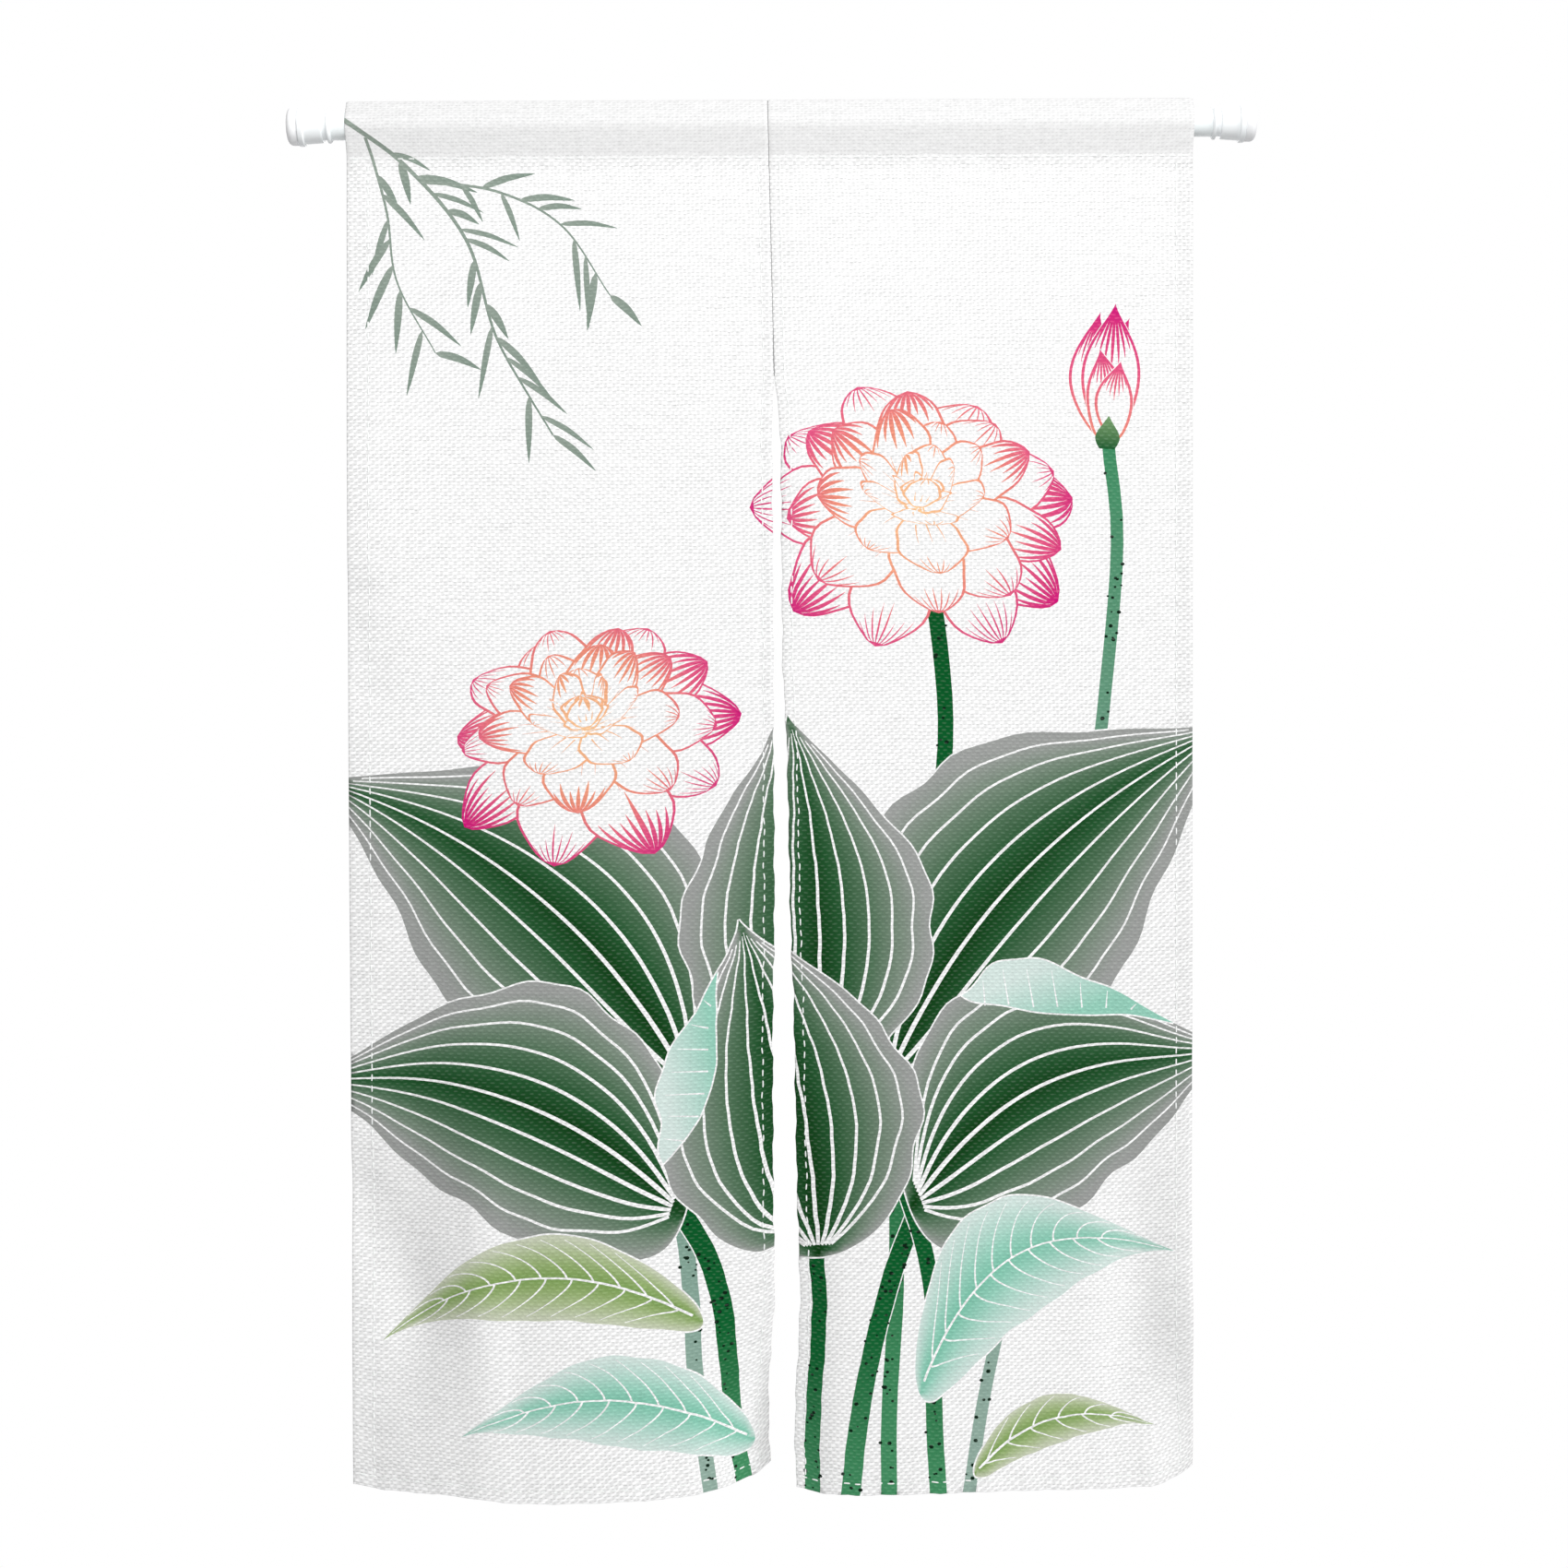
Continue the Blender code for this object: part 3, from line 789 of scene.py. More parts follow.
# %% Leaves
DARK_GREENS = ((2, 58, 8), (36, 88, 48), (82, 116, 88), (124, 142, 126), (160, 162, 160))
MINTS = ((122, 196, 170), (152, 210, 190), (188, 222, 211), (216, 232, 227))
OLIVES = ((124, 160, 86), (148, 176, 110), (178, 195, 150), (206, 212, 190))
LEAF_STEPS = 64
RIM_WAVES = (3.1, 6.7)
UNLIKE_SIDES = 2.4
PAINT_BY_SIDE = 0.98
PAINT_BY_TIP = 0.30
VEIN_STEPS = 10
LONG_STEPS = 34
VEIN_SHARE = 0.034
VEIN_LINE = 0.0019
LONG_VEINS = (0.22, 0.44, 0.65, 0.84)
SIDE_VEIN_LINE = 0.0010
SIDE_VEIN_SPACE = 0.030
LAP_FROM, LAP_TO, LAP_DEPTH = 0.34, 0.86, 0.46
LAP_LINE = 0.0009
LAP_STEPS = 8
LAP_LINES = np.linspace(0.14, 0.86, 7)
RIM_LINE = 0.0016
SPECKLE_INK = (6, 34, 18)
SPECKLE_SIZES = (0.0011, 0.0027)
STEM_STEPS = 40


class LeafForm:
    """The form of one leaf or petal: foot plus t times the way, plus the arch times 4 t (1 - t)
    and c times the half width at t, both square to the way."""

    def __init__(self, foot, tip, arch, half_width, fullest, ripple=0.0, seed=0.0):
        self.foot = np.asarray(foot, float)
        self.way = np.asarray(tip, float) - self.foot
        self.length = np.hypot(*self.way)
        square = np.array([self.way[1], -self.way[0]]) / self.length
        self.across = square if square[1] < 0 else -square
        self.arch, self.half_width, self.fullest = arch, half_width, fullest
        self.ripple, self.seed = ripple, seed

    def half(self, t):
        """Half width: a sine of a power of t, blunt at the foot and pointed at the tip."""
        power = np.log(0.5) / np.log(self.fullest)
        return self.half_width * np.sin(pi * np.clip(t, 0, 1) ** power) ** (0.60 + 0.65 * np.clip(t, 0, 1))

    def waves(self, t, c):
        """The rim's ripples, unlike on its two sides and fading inwards."""
        long, short = RIM_WAVES
        phase = self.seed + np.where(c > 0, 0.0, UNLIKE_SIDES)
        wave = np.sin(2 * pi * long * t + phase) + 0.6 * np.sin(2 * pi * short * t + 2 * phase)
        return 1 + self.ripple * wave * c**2

    def place(self, t, c):
        """Places on the cloth at t and c, by the rule of the form."""
        rise = self.arch * 4 * t * (1 - t) + c * self.half(t) * self.waves(t, c)
        return self.foot + t[:, None] * self.way + rise[:, None] * self.across

    def local(self, points):
        """t and c at any places: the same rule turned round."""
        away = points - self.foot
        t = away @ self.way / self.length**2
        rise = away @ self.across - self.arch * 4 * t * (1 - t)
        return t, rise / np.maximum(self.half(t), 0.08 * self.half_width)

    def outline(self):
        """Up one rim and back down the other, with closer points near both ends."""
        t = (1 - np.cos(np.linspace(0, pi, LEAF_STEPS))) / 2
        ones = np.ones_like(t)
        return np.vstack([self.place(t, ones), self.place(t, -ones)[::-1]])


def grown(outline, margin):
    """An outline moved outwards by a margin, as seen from its middle."""
    ahead = np.roll(outline, -1, 0) - np.roll(outline, 1, 0)
    side = np.column_stack([ahead[:, 1], -ahead[:, 0]])
    side /= np.maximum(np.linalg.norm(side, axis=1, keepdims=True), TINY)
    turned = np.sum(outline[:, 0] * np.roll(outline[:, 1], -1) - outline[:, 1] * np.roll(outline[:, 0], -1))
    return outline + side * margin * np.sign(turned)


print("a leaf's outline has", 2 * LEAF_STEPS, "points")

# %% [markdown]
# A leaf is painted by its own two numbers, and its veins are ribbons along lines of equal share.
# Some leaves turn a stretch of their rim over and show the paler underside.


# %% Paint, veins and turned rims
def leaf_paint(form, colours):
    """Dark by the foot and the midrib, and paler towards the rim and the tip."""
    ramp = [linear(*colour) for colour in colours]

    def paint(points):
        t, c = form.local(points)
        c = np.clip(np.abs(c), 0, 1)
        return mixed(PAINT_BY_SIDE * c + PAINT_BY_TIP * np.clip(t, 0, 1) ** 2, ramp)

    return paint


def parallel_veins(form, shares, line):
    """Bare lines that leave the foot together, run at equal shares and meet again at the tip,
    where they are no wider than a small share of the leaf."""
    for share in (0.0, *shares):
        t = np.linspace(0.035, 0.96 - 0.05 * share, LONG_STEPS)
        thin = np.linspace(1.35 - 0.60 * share, 0.36, LONG_STEPS)
        half = np.minimum(line * thin, np.maximum(VEIN_SHARE * form.half(t), line * (0.10 - t)))
        for side in (-1, 1) if share else (1,):
            draw(ribbon(form.place(t, side * share * (1 - np.exp(-t / 0.085))), half), None)


def slanted_veins(form, count, line):
    """Bare lines that leave the midrib one after another and curve forward to the rim."""
    t = np.linspace(0.03, 0.97, LONG_STEPS)
    half = np.minimum(1.3 * line * np.linspace(1.0, 0.4, LONG_STEPS), 0.09 * form.half(t) + 0.0001)
    draw(ribbon(form.place(t, 0 * t), half), None)
    w = np.linspace(0, 1, VEIN_STEPS)
    for start in np.linspace(0.07, 0.78, count):
        for side in (-1, 1):
            out = start + (0.17 - 0.06 * start) * w**1.5 + (0.015 if side > 0 else 0.0)
            draw(ribbon(form.place(out, side * 0.90 * w), line * np.linspace(1.0, 0.30, VEIN_STEPS)), None)


def turned_rim(form, start, end, side, depth, colours):
    """A stretch of the rim that laps over and shows the leaf's pale underside."""
    w = np.linspace(0, 1, LONG_STEPS)
    t = start + (end - start) * w
    fold = side * (1.0 - depth * np.sin(pi * w) ** 0.8)
    rim = form.place(t, side * (1.0 + 0.04 * np.sin(pi * w)))
    inner = form.place(t, fold)
    lap = np.vstack([rim, inner[::-1]])
    draw(grown(lap, RIM_LINE), None)
    half = LONG_STEPS // 2
    draw(lap, fade(inner[half], rim[half], colours))
    for share in LAP_LINES:
        across = np.linspace(0.10, 0.86, LAP_STEPS)
        c = side * (1.0 - depth * np.sin(pi * share) ** 0.8 * across)
        line = form.place(start + (end - start) * (share - 0.05 * across), c)
        draw(ribbon(line, LAP_LINE * np.linspace(0.3, 1.0, LAP_STEPS)), None)


print("long veins at shares", LONG_VEINS, "of the half width")

# %% [markdown]
# A whole leaf puts these together over a thin bare line, which parts it from what lies behind.
# A stem is a ribbon too, with dark speckles as on a rough stalk.


# %% Whole leaves and stems
def leaf(row, seed):
    """One leaf of the layout, over a thin bare line that parts it from what is behind."""
    form = LeafForm(row.foot, row.tip, row.arch, row.half_width, row.fullest, row.ripple, seed)
    draw(grown(form.outline(), RIM_LINE), None)
    draw(form.outline(), leaf_paint(form, row.colours))
    if row.veins == "parallel":
        parallel_veins(form, LONG_VEINS, VEIN_LINE)
    else:
        slanted_veins(form, int(form.length / SIDE_VEIN_SPACE), SIDE_VEIN_LINE)
    if row.lap:
        turned_rim(form, LAP_FROM, LAP_TO, row.lap, LAP_DEPTH, MINTS[1:])


def stem(way, half_width, colours, speckles, seed):
    """A slim stem along a way, with dark speckles on it and on its rims."""
    path = through(way, STEM_STEPS)
    draw(ribbon(path, half_width + RIM_LINE * 0.7), None)
    draw(ribbon(path, half_width), fade(way[0], way[-1], colours))
    chance = np.random.default_rng(seed)
    side = sideways(path)
    round_turn = np.linspace(0, 2 * pi, 7)[:-1]
    for _ in range(speckles):
        k = chance.uniform(1, STEM_STEPS - 2)
        at = [np.interp(k, np.arange(STEM_STEPS), path[:, axis]) for axis in (0, 1)]
        centre = at + side[int(k)] * half_width * chance.uniform(-1.06, 1.06)
        size = chance.uniform(*SPECKLE_SIZES)
        dot = centre + np.column_stack([size * np.cos(round_turn), 0.8 * size * np.sin(round_turn)])
        draw(dot, ink(SPECKLE_INK))


print(f"speckles up to {2000 * SPECKLE_SIZES[1]:.1f} mm wide")

# %% [markdown]
# ### Blossoms
#
# A blossom is worked out in the round and then seen from one side. Each petal starts at the heart
# and follows an arc that rises or droops, with a width that swells towards its tip. Rings of
# petals are drawn from the outermost in, so that each ring covers the feet of the one outside it.
# A petal is a coloured outline with the bare cloth inside, and short hatching runs in from its
# tip, as a woodcutter's knife leaves it.

# %% Blossoms
PINKS = ((252, 200, 150), (246, 176, 134), (238, 142, 122), (228, 88, 132), (208, 8, 122))
PETAL_LINE = 0.0030
PETAL_STEPS = 17
HEART_LINE = 0.0009
FILLED_PETALS = 0.45
HATCH_STEPS = 7
HEART_SHARES = (-0.35, 0.05, 0.42)
HEART_STEPS = 6
Ring = namedtuple("Ring", "petals base_lift tip_lift length width hatching")
RINGS = (
    Ring(9, 2, -24, 1.00, 0.270, 8),
    Ring(9, 16, -6, 0.85, 0.245, 7),
    Ring(8, 30, 14, 0.71, 0.220, 7),
    Ring(7, 46, 40, 0.56, 0.188, 6),
    Ring(5, 60, 72, 0.42, 0.158, 5),
    Ring(4, 72, 104, 0.30, 0.125, 4),
)


def swell(t, fullest, blunt):
    """0 at both ends and 1 where it is fullest: a sine of a power of t."""
    power = np.log(0.5) / np.log(fullest)
    return np.sin(pi * np.clip(t, 0, 1) ** power) ** blunt


def seen_petal(angle, ring, length, tilt, steps):
    """Middle line and side vector of one petal, as seen: an arc that leaves the heart at the base
    lift and ends at the tip lift, turned about the stalk and looked at from the tilt."""
    v = 1 - np.linspace(1, 0, steps) ** 1.3
    lift = np.radians(ring.base_lift + (ring.tip_lift - ring.base_lift) * v)
    step = np.diff(v, prepend=0.0) * length
    out = np.cumsum(np.cos(lift) * step)
    up = np.cumsum(np.sin(lift) * step)
    middle = np.column_stack([out * cos(angle), out * sin(angle) * cos(tilt) + up * sin(tilt)])
    side = np.array([-sin(angle), cos(angle) * cos(tilt)])
    return v, middle, side


print(sum(ring.petals for ring in RINGS), "petals in a blossom")

# %% [markdown]
# A petal is drawn with strips, each a line with a width to both sides of it. Its rim swells and
# ripples a little, and the hatching is denser on some petals than on others.


# %% One petal and a whole blossom
def within(v, middle, side, out, share, at):
    """A line inside a petal: its middle line at some places, moved sideways by a share of the half
    width there. The half widths at those places come with it."""
    spread = np.interp(at, v, out)
    spine = np.column_stack([np.interp(at, v, middle[:, k]) for k in (0, 1)])
    return spine + side * (share * spread)[:, None], spread


def strip(line, side, half):
    """A closed outline: the line moved by its half width along one fixed way, and back."""
    shift = side * half[:, None]
    return np.vstack([line + shift, (line - shift)[::-1]])


def petal(angle, ring, radius, tilt, chance):
    """Outlines of one petal, each with whether it is inked: the coloured outline and the bare cloth
    inside it, hatching in from the tip, and three fine lines from the heart."""
    length = radius * ring.length * chance.uniform(0.90, 1.06)
    half = radius * ring.width * chance.uniform(0.86, 1.08)
    v, middle, side = seen_petal(angle, ring, length, tilt, PETAL_STEPS)
    bend = chance.uniform(-0.10, 0.10) * length
    middle = middle + side * (bend * v**2)[:, None]
    out = half * (swell(v, 0.62, 0.62) * 0.96 + 0.16 * (1 - v))
    rim = out * (1 + 0.05 * np.sin(2 * pi * (v * 2.6 + chance.uniform())))
    line = PETAL_LINE * (0.62 + 0.38 * np.minimum(1, out / (0.5 * half)))
    bare = np.maximum(rim - line, 0.0)
    yield strip(middle, side, rim), True
    yield strip(middle[1:-1], side, bare[1:-1]), False
    filled = chance.uniform() < FILLED_PETALS
    reach = chance.uniform(0.30, 0.42) if filled else chance.uniform(0.16, 0.26)
    for share in np.linspace(-0.80, 0.80, ring.hatching):
        start = 1 - reach * chance.uniform(0.7, 1.25) * (1 - 0.35 * abs(share))
        spine, spread = within(v, middle, side, out, share, np.linspace(0.985, start, HATCH_STEPS))
        thick = spread / ring.hatching * (1.05 if filled else 0.45) * np.linspace(1, 0.05, HATCH_STEPS)
        yield strip(spine, side, thick), True
    for share in HEART_SHARES:
        at = np.linspace(0.30, 0.52 + 0.10 * chance.uniform(), HEART_STEPS)
        spine, _ = within(v, middle, side, out, share, at)
        yield strip(spine, side, HEART_LINE * np.linspace(1, 0.15, HEART_STEPS)), True


def blossom(centre, radius, tilt, turn, seed):
    """Rings of petals round a heart, with the heart of the flower leaning to the turn."""
    chance = np.random.default_rng(seed)
    paint = glow(np.asarray(centre, float), radius * 0.98, PINKS)
    lean = np.array([[cos(turn), -sin(turn)], [sin(turn), cos(turn)]])
    for ring in RINGS:
        first = chance.uniform(0, 2 * pi)
        places = np.arange(ring.petals) + chance.uniform(-0.16, 0.16, ring.petals)
        angles = first + places * 2 * pi / ring.petals
        for angle in sorted(angles, key=lambda value: -sin(value)):
            for outline, inked in petal(angle, ring, radius, tilt, chance):
                draw((outline @ lean.T) * [1.0, -1.0] + centre, paint if inked else None)


print("a petal's outline has", 2 * PETAL_STEPS, "points")

# %% [markdown]
# The bud is closed, so a few petals that overlap are enough. Each has the form of a leaf.


# %% A bud
BudPetal = namedtuple("BudPetal", "foot_shift tip_shift tall arch half_width")
BUD_PETALS = (
    BudPetal(-0.10, -0.34, 0.93, -0.26, 0.52),
    BudPetal(0.10, 0.36, 0.90, 0.26, 0.52),
    BudPetal(0.00, 0.00, 1.00, 0.00, 0.70),
    BudPetal(-0.16, -0.30, 0.66, -0.14, 0.48),
    BudPetal(0.18, 0.22, 0.58, 0.10, 0.46),
)
BUD_RIM_STEPS = 24
BUD_FULLEST = 0.46
BUD_HATCHING = 7
BUD_HATCH_STEPS = 8
CUP_WIDTHS = (0.18, 0.24, 0.28, 0.30, 0.28, 0.24, 0.18, 0.12, 0.06, 0.01)
CUP_GREENS = ((20, 90, 45), (120, 160, 110))


def bud(foot, tip, half_width):
    """A closed bud: overlapping petals from a foot to a tip, each a coloured outline with hatching
    down from its point, and a green cup under them. Shifts and arches are shares of the width."""
    foot, tip = np.asarray(foot, float), np.asarray(tip, float)
    way = tip - foot
    side = np.array([-way[1], way[0]]) / np.hypot(*way)
    paint = fade(foot, tip, PINKS[2:])
    t = np.linspace(0.02, 0.985, BUD_RIM_STEPS)
    for row in BUD_PETALS:
        root = foot + side * row.foot_shift * half_width
        end = foot + way * row.tall + side * row.tip_shift * half_width
        form = LeafForm(root, end, row.arch * half_width, row.half_width * half_width, BUD_FULLEST)
        draw(grown(form.outline(), RIM_LINE * 0.4), None)
        draw(form.outline(), paint)
        inside = np.maximum(1 - PETAL_LINE / np.maximum(form.half(t), 1e-5), 0.02)
        draw(np.vstack([form.place(t, inside), form.place(t, -inside)[::-1]]), None)
        for share in np.linspace(-0.74, 0.74, BUD_HATCHING):
            run = np.linspace(0.97, 0.50 + 0.22 * abs(share), BUD_HATCH_STEPS)
            thick = form.half(run) / BUD_HATCHING * np.linspace(1.15, 0.08, BUD_HATCH_STEPS)
            draw(ribbon(form.place(run, share * np.ones(BUD_HATCH_STEPS)), thick), paint)
    low, high = foot - way * 0.07, foot + way * 0.17
    cup = through([low, foot + way * 0.03, high], len(CUP_WIDTHS))
    draw(ribbon(cup, half_width * np.array(CUP_WIDTHS)), fade(low, high, CUP_GREENS))


print(len(BUD_PETALS), "petals in the bud")

# %% [markdown]
# ### The layout
#
# A willow-like twig hangs into the top left corner. Two blossoms and a bud stand above a clump of
# broad leaves that fills the middle, and stems and pale blades run down to the hem. What lies
# behind is drawn first.

# %% Lay the design out
TWIG_GREENS = ((150, 162, 152), (128, 146, 134))
STEM_GREENS = ((2, 84, 34), (10, 100, 48), (74, 150, 104))
PALE_STEMS = ((60, 140, 96), (128, 164, 148), (150, 176, 164))
TWIG_STEPS = 36
BLADE_STEPS = 12
BLADE_LENGTHS = (0.030, 0.062)
BLADE_HALF_WIDTHS = (0.0024, 0.0040)
BLADE_EDGE = 0.0002
BLADE_DROOP = np.array([0.0, 0.014])

Stem = namedtuple("Stem", "way half_width colours speckles")
STEMS_BEHIND = (
    Stem(((0.575, 0.46), (0.590, 0.66), (0.540, 0.98), (0.520, 1.43)), 0.0082, STEM_GREENS, 90),
    Stem(((0.245, 0.70), (0.262, 0.86), (0.330, 1.12), (0.352, 1.43)), 0.0080, PALE_STEMS, 90),
    Stem(((0.762, 0.345), (0.770, 0.50), (0.720, 0.86), (0.600, 1.43)), 0.0066, PALE_STEMS, 100),
)
STEMS_IN_FRONT = (
    Stem(((0.300, 1.08), (0.365, 1.20), (0.395, 1.43)), 0.0098, STEM_GREENS, 46),
    Stem(((0.575, 1.08), (0.515, 1.22), (0.478, 1.43)), 0.0098, STEM_GREENS, 46),
    Stem(((0.520, 1.05), (0.565, 1.20), (0.572, 1.43)), 0.0088, STEM_GREENS, 40),
    Stem(((0.440, 1.12), (0.445, 1.25), (0.440, 1.43)), 0.0084, STEM_GREENS, 34),
)
Leaf = namedtuple("Leaf", "foot tip arch half_width fullest ripple colours veins lap")
LEAVES_BEHIND = (
    Leaf((0.345, 1.010), (-0.040, 0.690), 0.055, 0.142, 0.40, 0.030, DARK_GREENS, "parallel", 0),
    Leaf((0.520, 1.000), (0.900, 0.640), 0.050, 0.146, 0.40, 0.030, DARK_GREENS, "parallel", 0),
    Leaf((0.440, 1.000), (0.426, 0.628), 0.020, 0.122, 0.42, 0.030, DARK_GREENS, "parallel", 0),
)
LEAVES_IN_FRONT = (
    Leaf((0.545, 1.125), (0.905, 0.985), 0.062, 0.128, 0.40, 0.030, DARK_GREENS, "parallel", 1),
    Leaf((0.335, 1.130), (-0.055, 1.005), 0.060, 0.124, 0.40, 0.030, DARK_GREENS, "parallel", 0),
    Leaf((0.445, 1.175), (0.388, 0.835), 0.012, 0.124, 0.40, 0.030, DARK_GREENS, "parallel", -1),
    Leaf((0.352, 1.240), (0.030, 1.262), 0.062, 0.043, 0.42, 0.020, OLIVES, "slanted", 0),
    Leaf((0.556, 1.312), (0.832, 1.176), 0.078, 0.062, 0.42, 0.020, MINTS, "slanted", 0),
    Leaf((0.408, 1.376), (0.112, 1.352), 0.052, 0.046, 0.42, 0.020, MINTS, "slanted", 0),
    Leaf((0.610, 1.395), (0.806, 1.352), 0.034, 0.025, 0.42, 0.020, OLIVES, "slanted", 0),
)

print(len(LEAVES_BEHIND) + len(LEAVES_IN_FRONT), "leaves and",
      len(STEMS_BEHIND) + len(STEMS_IN_FRONT), "stems")

# %% [markdown]
# The twig's blades come from seeded chance, so that each run draws the same ones. Then
# everything is drawn from the back to the front.


# %% Draw everything
def twig(way, half_width, leaves, seed):
    """A thin branch with slender leaves set left and right along it."""
    path = through(way, TWIG_STEPS)
    thinner = np.linspace(1.0, 0.35, TWIG_STEPS)
    draw(ribbon(path, half_width * thinner), fade(way[0], way[-1], TWIG_GREENS))
    chance = np.random.default_rng(seed)
    side = sideways(path)
    ahead = np.column_stack([side[:, 1], -side[:, 0]])
    for k in np.linspace(6, TWIG_STEPS - 1, leaves).astype(int):
        turn = 1 if chance.uniform() < 0.5 else -1
        aim = ahead[k] * chance.uniform(0.5, 1.0) + side[k] * turn * chance.uniform(0.35, 0.9)
        aim = aim / np.hypot(*aim) * chance.uniform(*BLADE_LENGTHS)
        half_way = path[k] + 0.5 * aim + 0.3 * BLADE_DROOP
        blade = through([path[k], half_way, path[k] + aim + BLADE_DROOP], BLADE_STEPS)
        out = chance.uniform(*BLADE_HALF_WIDTHS) * swell(np.linspace(0, 1, BLADE_STEPS), 0.35, 0.8)
        draw(ribbon(blade, out + BLADE_EDGE), fade(blade[0], blade[-1], TWIG_GREENS))


twig(((-0.010, 0.020), (0.060, 0.075), (0.120, 0.150), (0.150, 0.250), (0.205, 0.345)), 0.0024, 17, 5)
twig(((0.075, 0.090), (0.150, 0.100), (0.215, 0.135), (0.262, 0.205)), 0.0017, 10, 11)
twig(((0.020, 0.045), (0.040, 0.120), (0.050, 0.190), (0.088, 0.262)), 0.0016, 9, 23)
for number, row in enumerate(STEMS_BEHIND):
    stem(row.way, row.half_width, row.colours, row.speckles, 100 + number)
for number, row in enumerate(LEAVES_BEHIND):
    leaf(row, 1.0 + number)
for number, row in enumerate(STEMS_IN_FRONT):
    stem(row.way, row.half_width, row.colours, row.speckles, 200 + number)
for number, row in enumerate(LEAVES_IN_FRONT):
    leaf(row, 4.0 + number)
bud((0.762, 0.352), (0.772, 0.215), 0.043)
blossom((0.565, 0.420), 0.178, radians(38), radians(-12), 3)
blossom((0.238, 0.640), 0.160, radians(44), radians(14), 8)
print(len(PRINT), "shapes,", sum(len(shape.outline) for shape in PRINT), "points")

# %% [markdown]
# ## Cutting the print into the cloth
#
# The panel's mesh needs points in even rows for the folds, closer ones at the hems, and an edge
# along every outline of the print. A constrained triangulation takes all of these at once and
# returns triangles that never cross an outline. Each triangle then takes the paint of the last
# shape that holds its middle, and the paint is worked out at its three corners.

# %% Lines of points
BODY_STEP = 0.0080
POCKET_STEP = 0.0026
EDGE_OFFSETS = (0.0, 0.0007, 0.0020, 0.0042)
LINE_OFFSETS = (-0.0028, -0.0012, 0.0, 0.0012, 0.0028)
LEAST_SPACE = 0.0005
CROWDED = 0.4
SHADE_ROWS_FROM = 0.0045
SHADE_ROW_STEP = 0.0030
SHADE_ROWS = 6
CDT_EPSILON = 2e-5


def spaced(low, high, step, marks):
    """Even places from low to high, with marked ones added where they aren't crowded."""
    even = np.linspace(low, high, ceil((high - low) / step) + 1)
    marks = np.asarray(sorted(marks))
    clear = np.min(np.abs(even[:, None] - marks[None, :]), axis=1) > CROWDED * step
    places = np.sort(np.concatenate([even[clear], marks]))
    return places[np.concatenate([[True], np.diff(places) > LEAST_SPACE])]


def columns_of(panel):
    """Places across a panel: even ones, and closer ones at its edges and stitch lines."""
    width = panel_width(panel)
    marks = list(EDGE_OFFSETS) + [width - offset for offset in EDGE_OFFSETS]
    marks += [panel.left_hem - STITCH_IN + offset for offset in LINE_OFFSETS]
    marks += [width - panel.right_hem + STITCH_IN + offset for offset in LINE_OFFSETS]
    return spaced(0.0, width, BODY_STEP, marks)


def rows_of():
    """Places along the cloth, from the pocket's tail over the crest to the hem, closer where it
    bends or is sewn."""
    marks = [S_HEM - offset for offset in EDGE_OFFSETS]
    marks += [S_HEM - BOTTOM_HEM + STITCH_IN + offset for offset in LINE_OFFSETS]
    marks += [POCKET_LENGTH + offset for offset in LINE_OFFSETS]
    marks += [POCKET_LENGTH + SHADE_ROWS_FROM + SHADE_ROW_STEP * k for k in range(SHADE_ROWS)]
    body = spaced(POCKET_LENGTH + LINE_OFFSETS[3], S_HEM, BODY_STEP, marks)
    pocket_marks = [S_BACK, S_BACK + EDGE_OFFSETS[1], 0.0, POCKET_LENGTH]
    pocket = spaced(S_BACK, POCKET_LENGTH, POCKET_STEP, pocket_marks)
    return np.unique(np.concatenate([pocket, body[body > POCKET_LENGTH + LEAST_SPACE]]))


print(len(columns_of(PANELS[0])), "columns and", len(rows_of()), "rows of points before the print")

# %% [markdown]
# The grid and the outlines go into one triangulation. Whether the middle of a triangle lies
# inside an outline is a count of windings, worked out for many places at once.


# %% Triangles and their colours
def holds(outline, points):
    """Which points lie inside a closed outline: those that it winds round. A ray to the right
    counts one up for each edge that crosses it upwards and one down for each the other way."""
    x, y = points[:, :1], points[:, 1:]
    x1, y1 = outline[:, 0], outline[:, 1]
    x2, y2 = np.roll(x1, -1), np.roll(y1, -1)
    rise = np.where(y2 == y1, 1.0, y2 - y1)
    crossed = x < x1 + (x2 - x1) * (y - y1) / rise
    return (crossed & (y1 <= y) & (y2 > y)).sum(1) != (crossed & (y1 > y) & (y2 <= y)).sum(1)


